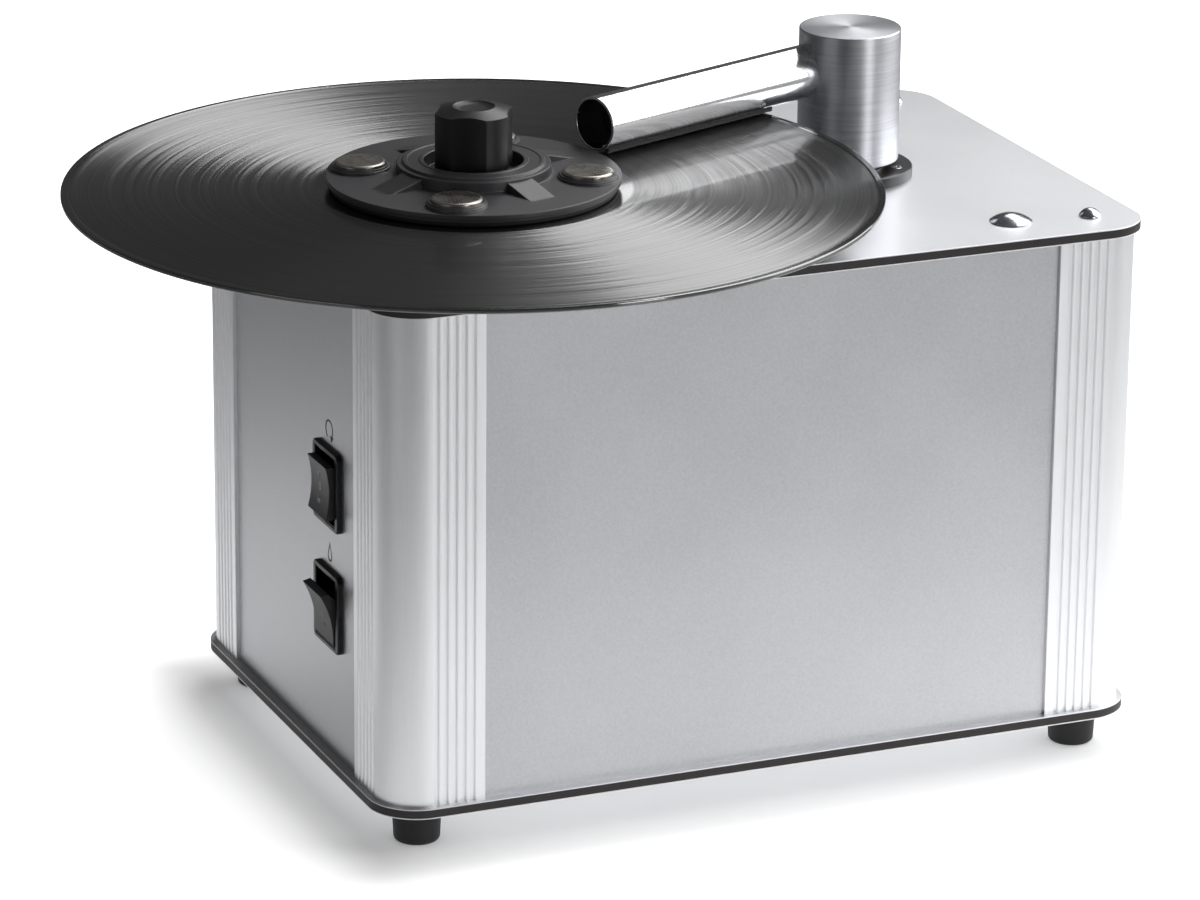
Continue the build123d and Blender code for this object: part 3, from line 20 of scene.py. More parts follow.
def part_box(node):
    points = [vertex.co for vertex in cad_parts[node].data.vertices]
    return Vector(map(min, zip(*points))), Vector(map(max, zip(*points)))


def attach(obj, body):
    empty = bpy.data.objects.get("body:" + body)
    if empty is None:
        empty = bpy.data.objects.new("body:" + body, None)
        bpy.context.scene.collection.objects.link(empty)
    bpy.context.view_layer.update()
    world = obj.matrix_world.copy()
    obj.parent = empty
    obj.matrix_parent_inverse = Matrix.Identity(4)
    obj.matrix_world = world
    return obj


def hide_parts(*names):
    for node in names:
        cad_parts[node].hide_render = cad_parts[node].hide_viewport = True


MM = 0.001
ROUND_STEPS = 160
FINE_STEPS = 288
SMOOTH_ANGLE = math.radians(32.0)
BEVEL_ANGLE = math.radians(35.0)
SAME_POINT = 1e-6
SQUARELY = 0.9
UPWARDS = Vector((0, 0, 1))

Point2 = Tuple[float, float]
Point3 = Tuple[float, float, float]
Corner = Tuple[float, float, float]
Colour = Tuple[float, float, float, float]
Stops = Sequence[Tuple[float, Colour]]

log = logging.getLogger("record_cleaning_machine")

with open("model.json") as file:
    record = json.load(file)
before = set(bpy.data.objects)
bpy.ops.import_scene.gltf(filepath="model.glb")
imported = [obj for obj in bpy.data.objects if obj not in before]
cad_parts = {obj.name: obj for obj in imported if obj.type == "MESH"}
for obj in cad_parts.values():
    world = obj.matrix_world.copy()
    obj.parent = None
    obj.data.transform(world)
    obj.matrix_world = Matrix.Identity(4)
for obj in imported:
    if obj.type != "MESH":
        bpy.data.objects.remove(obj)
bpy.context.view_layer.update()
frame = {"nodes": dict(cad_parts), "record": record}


# ---------------------------------------------------------------------------- colours
def linear(hex_colour: str) -> Colour:
    """Turn an sRGB hex colour into the linear colour that sockets take.

    Args:
        hex_colour: Six hex digits, such as "c8c9cb".

    Returns:
        Linear red, green and blue with an alpha of 1.
    """
    channels = [int(hex_colour[i : i + 2], 16) / 255 for i in (0, 2, 4)]
    bent = [c / 12.92 if c <= 0.04045 else ((c + 0.055) / 1.055) ** 2.4 for c in channels]
    return (bent[0], bent[1], bent[2], 1.0)


def grey(level: float) -> Colour:
    """Give a linear grey of that level."""
    return (level, level, level, 1.0)


def levels(stops: Sequence[Point2]) -> Stops:
    """Turn the levels of stops into greys."""
    return [(place, grey(level)) for place, level in stops]


WHITE = grey(1.0)


# ---------------------------------------------------------------------------- materials
class NodeDesk:
    """The node tree of one material or world, with one way to add a node."""

    def __init__(self, owner: Any) -> None:
        """Empty the tree of a material or world."""
        owner.use_nodes = True
        self.tree = owner.node_tree
        self.tree.nodes.clear()

    def add(
        self,
        kind: str,
        settings: Optional[Dict[str, Any]] = None,
        inputs: Optional[Dict[Any, Any]] = None,
        stops: Stops = (),
    ) -> bpy.types.Node:
        """Add a node, set it and link into it.

        Args:
            kind: Node type, such as "ShaderNodeTexNoise".
            settings: Attributes of the node.
            inputs: Input socket to its value, or to the output socket that feeds it.
            stops: Position and linear colour of each stop, for a node with a ramp.

        Returns:
            The new node.
        """
        node = self.tree.nodes.new(kind)
        for name, value in (settings or {}).items():
            setattr(node, name, value)
        for socket, value in (inputs or {}).items():
            if isinstance(value, bpy.types.NodeSocket):
                self.tree.links.new(value, node.inputs[socket])
            else:
                node.inputs[socket].default_value = value
        if stops:
            elements = node.color_ramp.elements
            elements[0].position, elements[0].color = stops[0]
            elements[1].position, elements[1].color = stops[-1]
            for place, colour in stops[1:-1]:
                elements.new(place).color = colour
        return node

    def math(self, operation: str, *terms: Any) -> bpy.types.NodeSocket:
        """Join sockets or numbers by one operation."""
        node = self.add("ShaderNodeMath", {"operation": operation}, dict(enumerate(terms)))
        return node.outputs[0]

    def vector(self, operation: str, *terms: Any, output: str = "Vector") -> bpy.types.NodeSocket:
        """Join vectors by one operation."""
        node = self.add("ShaderNodeVectorMath", {"operation": operation}, dict(enumerate(terms)))
        return node.outputs[output]

    def noise(
        self, place: Any, scale: float, detail: float, roughness: float = 0.5,
        socket: str = "Vector",
    ) -> bpy.types.NodeSocket:
        """Add noise in space, or along a line when it is fed through its socket W.

        Args:
            place: Socket that says where the noise is read.
            scale: Waves in a metre.
            detail: Octaves of finer waves.
            roughness: Strength of the finer waves.
            socket: "Vector" or "W".

        Returns:
            The level of the noise.
        """
        dimensions = "1D" if socket == "W" else "3D"
        return self.add(
            "ShaderNodeTexNoise", {"noise_dimensions": dimensions},
            {socket: place, "Scale": scale, "Detail": detail, "Roughness": roughness},
        ).outputs["Fac"]

    def spread(
        self, value: Any, given: Point2, wanted: Point2 = (0.0, 1.0), smooth: bool = False
    ) -> bpy.types.NodeSocket:
        """Map one range of values onto another.

        Args:
            value: Socket that is mapped.
            given: Its range.
            wanted: The range that it is mapped onto.
            smooth: Whether the ends are eased.

        Returns:
            The mapped value.
        """
        return self.add(
            "ShaderNodeMapRange", {"interpolation_type": "SMOOTHSTEP" if smooth else "LINEAR"},
            {"Value": value, "From Min": given[0], "From Max": given[1],
             "To Min": wanted[0], "To Max": wanted[1]},
        ).outputs["Result"]

    def ramp(self, value: Any, stops: Stops) -> bpy.types.NodeSocket:
        """Turn a value into a colour by a ramp."""
        return self.add("ShaderNodeValToRGB", None, {"Fac": value}, stops).outputs["Color"]

    def mix(self, share: Any, first: Any, second: Any, blend: str = "MIX") -> bpy.types.NodeSocket:
        """Mix two colours, each a socket or a colour."""
        node = self.add("ShaderNodeMix", {"data_type": "RGBA", "blend_type": blend},
                        {0: share, 6: first, 7: second})
        return node.outputs[2]

    def place(self) -> bpy.types.NodeSocket:
        """Give the place on the object, in its own axes."""
        return self.add("ShaderNodeTexCoord").outputs["Object"]

    def bump(self, height: Any, depth_mm: float) -> bpy.types.NodeSocket:
        """Raise the surface by a pattern of that depth."""
        values = {"Height": height, "Strength": 1.0, "Distance": depth_mm * MM}
        return self.add("ShaderNodeBump", None, values).outputs["Normal"]

    def around(self) -> bpy.types.NodeSocket:
        """Give the direction round the upright axis."""
        settings = {"direction_type": "RADIAL", "axis": "Z"}
        return self.add("ShaderNodeTangent", settings).outputs["Tangent"]

    def principled(self, **inputs: Any) -> None:
        """End the tree with a Principled surface; a lower line stands for a space in a name."""
        named = {name.replace("_", " "): value for name, value in inputs.items()}
        shader = self.add("ShaderNodeBsdfPrincipled", None, named)
        self.add("ShaderNodeOutputMaterial", None, {"Surface": shader.outputs["BSDF"]})


class Grain(Enum):
    """How a surface was made, which decides its fine pattern."""

    BLASTED = "blasted"
    EXTRUDED = "extruded"
    TURNED = "turned"
    MOULDED = "moulded"
    POLISHED = "polished"
    ROLLED = "rolled"


DRAWN_OUT: Dict[Grain, Point3] = {
    Grain.EXTRUDED: (1.0, 1.0, 0.02),
    Grain.TURNED: (0.03, 0.03, 1.0),
    Grain.ROLLED: (0.03, 1.0, 1.0),
}
QUARTER_TURN = 0.25
NOISE_SPAN = (0.3, 0.7)


@dataclass(frozen=True)
class Finish:
    """One surface finish, wired as a Principled material.

    The pattern's period is the real spacing of what the eye sees: bead-blast pits, drawn
    lines, turning marks or the texture of a mould.  A broad cloud is laid under it.
    """

    name: str
    colour: str
    shade: str
    metallic: float = 0.0
    roughness: Point2 = (0.4, 0.55)
    grain: Grain = Grain.MOULDED
    period_mm: float = 0.8
    bump_mm: float = 0.02
    anisotropy: float = 0.0
    coat: float = 0.0
    coat_roughness: float = 0.1
    specular: float = 0.5
    sheen: float = 0.0
    transmission: float = 0.0
    cloud_scale: float = 18.0
    cloud_share: float = 0.28
    shade_span: Point2 = (0.32, 0.66)

    def make(self) -> bpy.types.Material:
        """Build the material.

        Returns:
            The finished material.
        """
        material = bpy.data.materials.new(self.name)
        desk = NodeDesk(material)
        place = desk.place()
        stretch = DRAWN_OUT.get(self.grain, (1.0, 1.0, 1.0))
        stretched = desk.add("ShaderNodeMapping", None, {"Vector": place, "Scale": stretch})
        fine = desk.noise(stretched.outputs["Vector"], 1 / (self.period_mm * MM), 3.0, 0.6)
        cloud = desk.math(
            "MULTIPLY", desk.noise(place, self.cloud_scale, 4.0, 0.55), self.cloud_share)
        blend = desk.math("MULTIPLY_ADD", fine, 1 - self.cloud_share, cloud)
        low, high = self.shade_span
        turned_only = {"Tangent": desk.around()} if self.grain is Grain.TURNED else {}
        desk.principled(
            Base_Color=desk.ramp(blend, [(low, linear(self.shade)), (high, linear(self.colour))]),
            Roughness=desk.spread(blend, NOISE_SPAN, self.roughness),
            Normal=desk.bump(fine, self.bump_mm), Metallic=self.metallic,
            Specular_IOR_Level=self.specular, Coat_Weight=self.coat,
            Coat_Roughness=self.coat_roughness, Sheen_Weight=self.sheen,
            Anisotropic=self.anisotropy, Anisotropic_Rotation=QUARTER_TURN,
            Transmission_Weight=self.transmission, **turned_only)
        return material


@dataclass(frozen=True)
class Vinyl:
    """Pressed record compound: black, glossy, with grooves that draw light into wedges.

    Bands of groove differ a little in how they shine, as louder and softer music does.
    """

    centre: Point3
    band_inner_mm: float
    band_outer_mm: float
    name: str = "pressed_record_vinyl"
    groove_mm: float = 1.1
    groove_depth_mm: float = 0.006
    loudness_scale: float = 160.0
    track_mm: float = 2.4
    sway: float = 0.02
    inner_blur_mm: float = 0.6
    outer_blur_mm: float = 0.4
    colour: str = "0c0b0c"
    shade: str = "131213"
    shade_span: Point2 = (0.2, 0.8)
    loudness_span: Point2 = (0.35, 0.65)
    plain_roughness: float = 0.16
    groove_roughness: Point2 = (0.37, 0.43)
    plain_shine: float = 0.6
    groove_shine: Point2 = (0.5, 1.0)
    ior: float = 2.4
    coat: float = 0.3
    coat_roughness: float = 0.05
    coat_ior: float = 1.5

    def make(self) -> bpy.types.Material:
        """Build the material.

        Returns:
            The finished material.
        """
        material = bpy.data.materials.new(self.name)
        desk = NodeDesk(material)
        centred = desk.vector("SUBTRACT", desk.place(), self.centre)
        flat = desk.vector("MULTIPLY", centred, (1.0, 1.0, 0.0))
        radius = desk.vector("LENGTH", flat, output="Value")
        rings = desk.noise(radius, 1 / (self.groove_mm * MM), 5.0, 0.7, "W")
        loudness = desk.noise(radius, self.loudness_scale, 2.0, 0.5, "W")
        tracks = desk.noise(radius, 1 / (self.track_mm * MM), 3.0, 0.8, "W")
        turn = desk.spread(tracks, NOISE_SPAN, (QUARTER_TURN - self.sway, QUARTER_TURN + self.sway))
        inner, inner_blur = self.band_inner_mm, self.inner_blur_mm
        outer, outer_blur = self.band_outer_mm, self.outer_blur_mm
        inside = desk.spread(
            radius, ((inner - inner_blur) * MM, (inner + inner_blur) * MM), smooth=True)
        outside = desk.spread(
            radius, ((outer + outer_blur) * MM, (outer - outer_blur) * MM), smooth=True)
        band = desk.math("MULTIPLY", inside, outside)
        low, high = self.shade_span
        rough = desk.spread(loudness, self.loudness_span, self.groove_roughness)
        shine = desk.spread(rings, NOISE_SPAN, self.groove_shine)
        rough, level = [
            desk.add("ShaderNodeMix", None, {"Factor": band, "A": plain, "B": grooved})
            .outputs["Result"]
            for plain, grooved in ((self.plain_roughness, rough), (self.plain_shine, shine))
        ]
        desk.principled(
            Base_Color=desk.ramp(rings, [(low, linear(self.colour)), (high, linear(self.shade))]),
            Roughness=rough, Specular_IOR_Level=level, IOR=self.ior,
            Normal=desk.bump(desk.math("MULTIPLY", rings, band), self.groove_depth_mm),
            Anisotropic=1.0, Anisotropic_Rotation=turn, Tangent=desk.around(),
            Coat_Weight=self.coat, Coat_Roughness=self.coat_roughness, Coat_IOR=self.coat_ior)
        return material


class Paint(Enum):
    """Every finish on the machine, named as the material slot that it belongs to."""

    # Extruded aluminium, satin anodised: fine drawn lines run up the profile.
    SILVER_ANODISED = Finish(
        "satin_anodised_extruded_aluminium", "f4f5f7", "eeeff1", 1.0, (0.35, 0.42),
        Grain.EXTRUDED, 0.5, 0.0012)
    # Bead-blasted, anodised aluminium sheet: a fine sparkling grit.
    SILVER_PANEL = Finish(
        "bead_blasted_anodised_aluminium", "c8c9cc", "babbbe", 1.0, (0.32, 0.42),
        Grain.BLASTED, 0.75, 0.012)
    # Skin of a composite plate: anodised, lighter and smoother than the panels.
    DECK_SKIN = Finish(
        "anodised_plate_skin", "eaebed", "e0e1e4", 1.0, (0.36, 0.46),
        Grain.BLASTED, 0.6, 0.005)
    # Filled core of a composite plate, brown-black where it was cut.
    DARK_CORE = Finish(
        "composite_plate_core", "2c2524", "1b1615", 0.0, (0.45, 0.6),
        Grain.ROLLED, 0.6, 0.02)
    # Natural rubber, moulded: dull, slightly dusty.
    BLACK_RUBBER = Finish(
        "moulded_black_rubber", "1b1b1c", "111112", 0.0, (0.55, 0.7),
        Grain.MOULDED, 0.9, 0.02, specular=0.4)
    # Bright zinc on steel: a faint blue cast and soft cloudiness.
    ZINC = Finish(
        "bright_zinc_plated_steel", "d3d8dd", "bcc2c8", 1.0, (0.16, 0.3),
        Grain.POLISHED, 1.4, 0.01)
    # ABS, moulded in a polished tool.
    GLOSS_BLACK = Finish(
        "glossy_black_abs", "131314", "0c0c0d", 0.0, (0.26, 0.36),
        Grain.MOULDED, 0.5, 0.006, specular=0.35)
    # Nylon rocker, spark-eroded tool: dark grey with a soft sheen.
    ROCKER_GREY = Finish(
        "spark_eroded_black_nylon", "39393b", "2c2c2e", 0.0, (0.38, 0.5),
        Grain.MOULDED, 0.35, 0.012)
    # Glass-filled nylon, moulded in a finely eroded tool: satin charcoal.
    CLAMP_BLACK = Finish(
        "moulded_charcoal_nylon", "3f3e41", "323134", 0.0, (0.36, 0.46),
        Grain.MOULDED, 0.4, 0.01, specular=0.6)
    # The knob's resin, darker and smoother than the disc's.
    KNOB_BLACK = Finish(
        "moulded_black_phenolic", "1d1c1e", "151416", 0.0, (0.3, 0.42),
        Grain.MOULDED, 0.4, 0.012)
    # Nickel-plated discs, rubbed by fingers: warm grey, a little cloudy.
    NICKEL = Finish(
        "rubbed_nickel_plate", "b4afa8", "a19c95", 1.0, (0.24, 0.33),
        Grain.POLISHED, 6.0, 0.001)
    # Chromed brass tube.
    CHROME = Finish(
        "polished_chrome_plate", "eeeeef", "e6e7e9", 1.0, (0.1, 0.15),
        Grain.POLISHED, 3.0, 0.0015)
    # Aluminium bar, finely turned: the lines go round and draw light across them.
    TURNED_ALUMINIUM = Finish(
        "finely_turned_aluminium", "d8dade", "c0c2c7", 1.0, (0.33, 0.42),
        Grain.TURNED, 0.8, 0.006, anisotropy=0.5)
    # Satin black paint on the flange.
    FLANGE_BLACK = Finish(
        "satin_black_enamel", "1a1a1b", "131314", 0.0, (0.28, 0.38),
        Grain.MOULDED, 0.5, 0.008, coat=0.3, coat_roughness=0.2)
    # Short velvet pile.
    VELVET = Finish(
        "short_black_velvet", "161416", "080708", 0.0, (0.85, 0.95),
        Grain.MOULDED, 0.45, 0.12, sheen=0.6)
    BRASS = Finish(
        "turned_brass", "d6b06a", "b8934f", 1.0, (0.2, 0.34), Grain.POLISHED, 0.8, 0.006)
    BRONZE = Finish(
        "sintered_bronze", "a98558", "7d6040", 1.0, (0.4, 0.55), Grain.MOULDED, 0.4, 0.01)
    STEEL = Finish(
        "ground_steel", "b9bbbe", "a2a4a8", 1.0, (0.18, 0.3), Grain.EXTRUDED, 0.4, 0.003)
    GEAR_WHITE = Finish(
        "moulded_natural_nylon", "e3dfd0", "d4cfbe", 0.0, (0.35, 0.5),
        Grain.MOULDED, 1.5, 0.01)
    PRESSED_STEEL = Finish(
        "pressed_zinc_sheet", "b4b7ba", "999ca0", 1.0, (0.3, 0.45), Grain.ROLLED, 0.6, 0.006)
    MOTOR_CAN = Finish(
        "painted_motor_can", "5d6064", "4d5054", 0.0, (0.35, 0.5), Grain.MOULDED, 1.0, 0.02)
    FAN_PLASTIC = Finish(
        "moulded_fan_plastic", "29292b", "1d1d1f", 0.0, (0.4, 0.55), Grain.MOULDED, 0.7, 0.02)
    HOSE_GREY = Finish(
        "extruded_grey_hose", "434446", "343537", 0.0, (0.5, 0.62), Grain.MOULDED, 1.2, 0.03)
    TANK_WHITE = Finish(
        "milky_polypropylene", "dfe2e2", "cdd1d1", 0.0, (0.38, 0.5),
        Grain.MOULDED, 2.0, 0.02, transmission=0.15)
    GREEN_BOARD = Finish(
        "lacquered_circuit_board", "1c6a3a", "0f4a26", 0.0, (0.25, 0.4),
        Grain.ROLLED, 1.6, 0.02)
    WIRE_BLACK = Finish(
        "woven_cable_sleeve", "1a1a1c", "0c0c0d", 0.0, (0.5, 0.65), Grain.MOULDED, 0.8, 0.05)
    SOCKET_BLACK = Finish(
        "moulded_matt_black_nylon", "1f1f20", "151516", 0.0, (0.42, 0.56),
        Grain.MOULDED, 0.5, 0.012)
    # White ink printed on the rockers and dark ink printed on the panel.
    WHITE_INK = Finish(
        "white_pad_print", "e2e3e5", "d4d5d7", 0.0, (0.5, 0.6), Grain.MOULDED, 0.3, 0.004)
    DARK_INK = Finish(
        "dark_screen_print", "232325", "19191b", 0.0, (0.45, 0.6), Grain.MOULDED, 0.3, 0.004)


class PaintShop:
    """Makes each finish once and puts it on pieces and nodes."""

    def __init__(self) -> None:
        """Start with nothing mixed."""
        self.made: Dict[str, bpy.types.Material] = {}

    def material(self, finish: Any) -> bpy.types.Material:
        """Give the material of a finish, made on first use.

        Args:
            finish: A finish, or the Paint entry that names it.

        Returns:
            Its material.
        """
        recipe = finish.value if isinstance(finish, Paint) else finish
        if recipe.name not in self.made:
            self.made[recipe.name] = recipe.make()
        return self.made[recipe.name]

    def coat(self, piece: bpy.types.Object, finish: Any) -> None:
        """Give a whole piece one finish."""
        material = self.material(finish)
        if not piece.material_slots:
            piece.data.materials.append(material)
        for slot in piece.material_slots:
            slot.material = material


shop = PaintShop()


# ---------------------------------------------------------------------------- modelling
def clear_selection() -> None:
    """Leave edit mode and select nothing."""
    if bpy.context.object is not None and bpy.context.object.mode != "OBJECT":
        bpy.ops.object.mode_set(mode="OBJECT")
    bpy.ops.object.select_all(action="DESELECT")


def take(piece: bpy.types.Object) -> None:
    """Select one piece alone and make it the active one."""
    clear_selection()
    piece.select_set(True)
    bpy.context.view_layer.objects.active = piece


def rename(piece: bpy.types.Object, name: str) -> None:
    """Name a piece and its mesh."""
    piece.name = piece.data.name = name


def add_object(name: str, data: Any) -> bpy.types.Object:
    """Put new data into the scene as an object."""
    made = bpy.data.objects.new(name, data)
    bpy.context.scene.collection.objects.link(made)
    return made


def settle(piece: bpy.types.Object) -> None:
    """Put a piece's place, turn and scale into its mesh."""
    take(piece)
    bpy.ops.object.transform_apply(location=True, rotation=True, scale=True)


def tidy_mesh(piece: bpy.types.Object) -> None:
    """Merge doubled points, turn the faces outwards and shade by angle."""
    take(piece)
    bpy.ops.object.mode_set(mode="EDIT")
    bpy.ops.mesh.select_all(action="SELECT")
    bpy.ops.mesh.remove_doubles(threshold=SAME_POINT)
    bpy.ops.mesh.normals_make_consistent(inside=False)
    bpy.ops.object.mode_set(mode="OBJECT")
    shade(piece)


def shade(piece: bpy.types.Object) -> None:
    """Shade by angle, with broad faces kept flat beside their rounded edges."""
    take(piece)
    bpy.ops.object.shade_smooth_by_angle(angle=SMOOTH_ANGLE)
    apply_modifier(piece, "WEIGHTED_NORMAL", mode="FACE_AREA", weight=100, keep_sharp=True)


def apply_modifier(piece: bpy.types.Object, kind: str, **settings: Any) -> None:
    """Add a modifier with those settings and apply it.

    Args:
        piece: Piece that is changed.
        kind: Modifier type, such as "BEVEL".
        **settings: Attributes of the modifier.
    """
    take(piece)
    modifier = piece.modifiers.new(kind.lower(), kind)
    for name, value in settings.items():
        setattr(modifier, name, value)
    bpy.ops.object.modifier_apply(modifier=modifier.name)


def soften_edges(piece: bpy.types.Object, width_mm: float, segments: int = 3) -> None:
    """Round every sharp edge of a piece and shade it again."""
    apply_modifier(
        piece, "BEVEL", width=width_mm * MM, segments=segments, limit_method="ANGLE",
        angle_limit=BEVEL_ANGLE, harden_normals=False, use_clamp_overlap=True)
    shade(piece)


def select_parts(
    piece: bpy.types.Object, kind: str, test: Callable[[Vector, Vector], bool]
) -> None:
    """In edit mode, select faces, edges or points by where they are.

    Args:
        piece: Piece in edit mode.
        kind: "FACE", "EDGE" or "VERT".
        test: Says yes or no from the middle, in mm, and the direction of the part.
    """
    bpy.ops.mesh.select_mode(type=kind)
    bpy.ops.mesh.select_all(action="DESELECT")
    mesh = bmesh.from_edit_mesh(piece.data)
    if kind == "FACE":
        parts = [(f, f.calc_center_median(), f.normal) for f in mesh.faces]
    elif kind == "EDGE":
        ends = [(e, e.verts[0].co, e.verts[1].co) for e in mesh.edges]
        parts = [(e, (a + b) / 2, (b - a).normalized()) for e, a, b in ends]
    else:
        parts = [(v, v.co, v.normal) for v in mesh.verts]
    for part, middle, direction in parts:
        if test(middle / MM, direction):
            part.select_set(True)
    mesh.select_flush_mode()
    bmesh.update_edit_mesh(piece.data)


def draw_line(name: str, points: Sequence[Point3]) -> bpy.types.Object:
    """Draw a line of edges, as by extruding one point over and over.

    Args:
        name: Name of the new object.
        points: Points in mm, the first one repeated at the end of a closed line.

    Returns:
        The object, still in edit mode with its last point selected.
    """
    clear_selection()
    first = Vector(points[0]) * MM
    bpy.ops.mesh.primitive_plane_add(size=MM, location=first)
    piece = bpy.context.object
    rename(piece, name)
    bpy.ops.object.transform_apply(location=True, rotation=True, scale=True)
    bpy.ops.object.mode_set(mode="EDIT")
    bpy.ops.mesh.select_mode(type="VERT")
    bpy.ops.mesh.select_all(action="SELECT")
    bpy.ops.mesh.merge(type="CENTER")
    last = first
    for point in points[1:]:
        here = Vector(point) * MM
        bpy.ops.mesh.extrude_region_move(TRANSFORM_OT_translate={"value": here - last})
        last = here
    return piece


def on_circle(centre: Sequence[float], radius: float, angle: float) -> Point2:
    """Give a point on a circle, with its angle in radians."""
    return (centre[0] + radius * math.cos(angle), centre[1] + radius * math.sin(angle))


def ring_places(centre: Point2, radius: float, first: float, count: int) -> List[Point2]:
    """Give places evenly round a circle, with the first angle in degrees."""
    angles = [math.radians(first + 360 / count * k) for k in range(count)]
    return [on_circle(centre, radius, angle) for angle in angles]


def rounded(corners: Sequence[Corner], steps: int = 5, closed: bool = True) -> List[Point2]:
    """Replace each corner of an outline by an arc.

    Args:
        corners: Place and rounding radius of each corner, in mm.
        steps: Arc points for a right angle.
        closed: Whether the last corner joins the first.

    Returns:
        The outline's points.
    """
    points: List[Point2] = []
    count = len(corners)
    for i, (x, y, radius) in enumerate(corners):
        at_end = not closed and i in (0, count - 1)
        if radius <= 0 or at_end:
            points.append((x, y))
            continue
        here = Vector((x, y))
        before = Vector(corners[i - 1][:2]) - here
        after = Vector(corners[(i + 1) % count][:2]) - here
        between = before.angle(after)
        reach = radius / math.tan(between / 2)
        start = here + before.normalized() * reach
        end = here + after.normalized() * reach
        inwards = (before.normalized() + after.normalized()).normalized()
        middle = here + inwards * (radius / math.sin(between / 2))
        first = math.atan2(start.y - middle.y, start.x - middle.x)
        sweep = math.atan2(end.y - middle.y, end.x - middle.x) - first
        sweep = (sweep + math.pi) % (2 * math.pi) - math.pi
        parts = max(2, round(steps * abs(sweep) / (math.pi / 2)))
        for k in range(parts + 1):
            angle = first + sweep * k / parts
            points.append(on_circle(middle, radius, angle))
    return points


def turned(
    name: str,
    corners: Sequence[Corner],
    centre: Point2 = (0.0, 0.0),
    steps: int = ROUND_STEPS,
    closed: bool = True,
    arc_steps: int = 4,
) -> bpy.types.Object:
    """Turn an outline about a vertical axis, as on a lathe.

    Args:
        name: Name of the piece.
        corners: Radius, height and rounding of each corner, in mm.
        centre: Place of the axis, in mm.
        steps: Steps round the axis.
        closed: Whether the outline closes on itself, away from the axis.
        arc_steps: Arc points for a right angle of the outline.

    Returns:
        The turned piece.
    """
    outline = rounded(corners, arc_steps, closed)
    if closed:
        outline = outline + [outline[0]]
    piece = draw_line(name, [(centre[0] + r, centre[1], z) for r, z in outline])
    bpy.ops.mesh.select_all(action="SELECT")
    bpy.ops.mesh.spin(
        steps=steps, angle=2 * math.pi,
        center=(centre[0] * MM, centre[1] * MM, 0.0), axis=(0.0, 0.0, 1.0))
    tidy_mesh(piece)
    return piece


def drill(
    centre: Point2, radius: float, low: float, high: float, steps: int
) -> bpy.types.Object:
    """Make an upright cylinder to cut with.

    Args:
        centre: Place of its axis, in mm.
        radius: Its radius in mm.
        low: Its lower end, in mm.
        high: Its upper end, in mm.
        steps: Steps round the axis.

    Returns:
        The cylinder.
    """
    corners = [(0, low, 0), (radius, low, 0), (radius, high, 0), (0, high, 0)]
    return turned("drill", corners, centre, steps, closed=False)


def prism(name: str, outline: Sequence[Point2], low: float, high: float) -> bpy.types.Object:
    """Extrude a flat outline upwards into a solid.

    Args:
        name: Name of the piece.
        outline: Points of the section in mm, in order.
        low: Height of the section, in mm.
        high: Height of the top, in mm.

    Returns:
        The solid.
    """
    points = [(x, y, low) for x, y in outline]
    piece = draw_line(name, points + points[:1])
    bpy.ops.mesh.select_all(action="SELECT")
    bpy.ops.mesh.remove_doubles(threshold=SAME_POINT)
    bpy.ops.mesh.edge_face_add()
    bpy.ops.mesh.extrude_region_move(TRANSFORM_OT_translate={"value": (0, 0, (high - low) * MM)})
    tidy_mesh(piece)
    return piece


def block(name: str, low: Point3, high: Point3) -> bpy.types.Object:
    """Add a box between two corners given in mm, to be shaped further."""
    clear_selection()
    size = [(b - a) * MM for a, b in zip(low, high)]
    middle = [(a + b) / 2 * MM for a, b in zip(low, high)]
    bpy.ops.mesh.primitive_cube_add(size=1.0, location=middle, scale=size)
    piece = bpy.context.object
    rename(piece, name)
    settle(piece)
    return piece


def cut(piece: bpy.types.Object, tool: bpy.types.Object, keep_tool: bool = False) -> None:
    """Cut a tool's shape out of a piece.

    Args:
        piece: Piece that is cut.
        tool: Closed shape that is taken out.
        keep_tool: Whether the tool is used again.
    """
    apply_modifier(piece, "BOOLEAN", operation="DIFFERENCE", object=tool, solver="EXACT")
    if not keep_tool:
        bpy.data.objects.remove(tool, do_unlink=True)


def join_onto(piece: bpy.types.Object, other: bpy.types.Object) -> None:
    """Fuse another closed shape onto a piece."""
    apply_modifier(piece, "BOOLEAN", operation="UNION", object=other, solver="EXACT")
    bpy.data.objects.remove(other, do_unlink=True)


def copied(piece: bpy.types.Object, name: str) -> bpy.types.Object:
    """Copy a piece with a mesh of its own."""
    take(piece)
    bpy.ops.object.duplicate(linked=False)
    copy = bpy.context.object
    rename(copy, name)
    return copy


def welded(name: str, parts: Sequence[bpy.types.Object]) -> bpy.types.Object:
    """Join several shapes into one object without fusing them."""
    clear_selection()
    for part in parts:
        part.select_set(True)
    bpy.context.view_layer.objects.active = parts[0]
    bpy.ops.object.join()
    piece = bpy.context.object
    rename(piece, name)
    return piece


def laid_along(piece: bpy.types.Object, origin: Point3, direction: Vector, up: Vector) -> None:
    """Carry a piece from its own axes to a place in the machine.

    Args:
        piece: Piece made about the origin, with its length along +Z and its top along +X.
        origin: Where its origin goes, in mm.
        direction: Where its +Z goes.
        up: Where its +X goes.
    """
    z_axis = direction.normalized()
    x_axis = (up - up.dot(z_axis) * z_axis).normalized()
    y_axis = z_axis.cross(x_axis)
    turn = Matrix((x_axis, y_axis, z_axis)).transposed().to_4x4()
    piece.matrix_world = Matrix.Translation(Vector(origin) * MM) @ turn
    settle(piece)


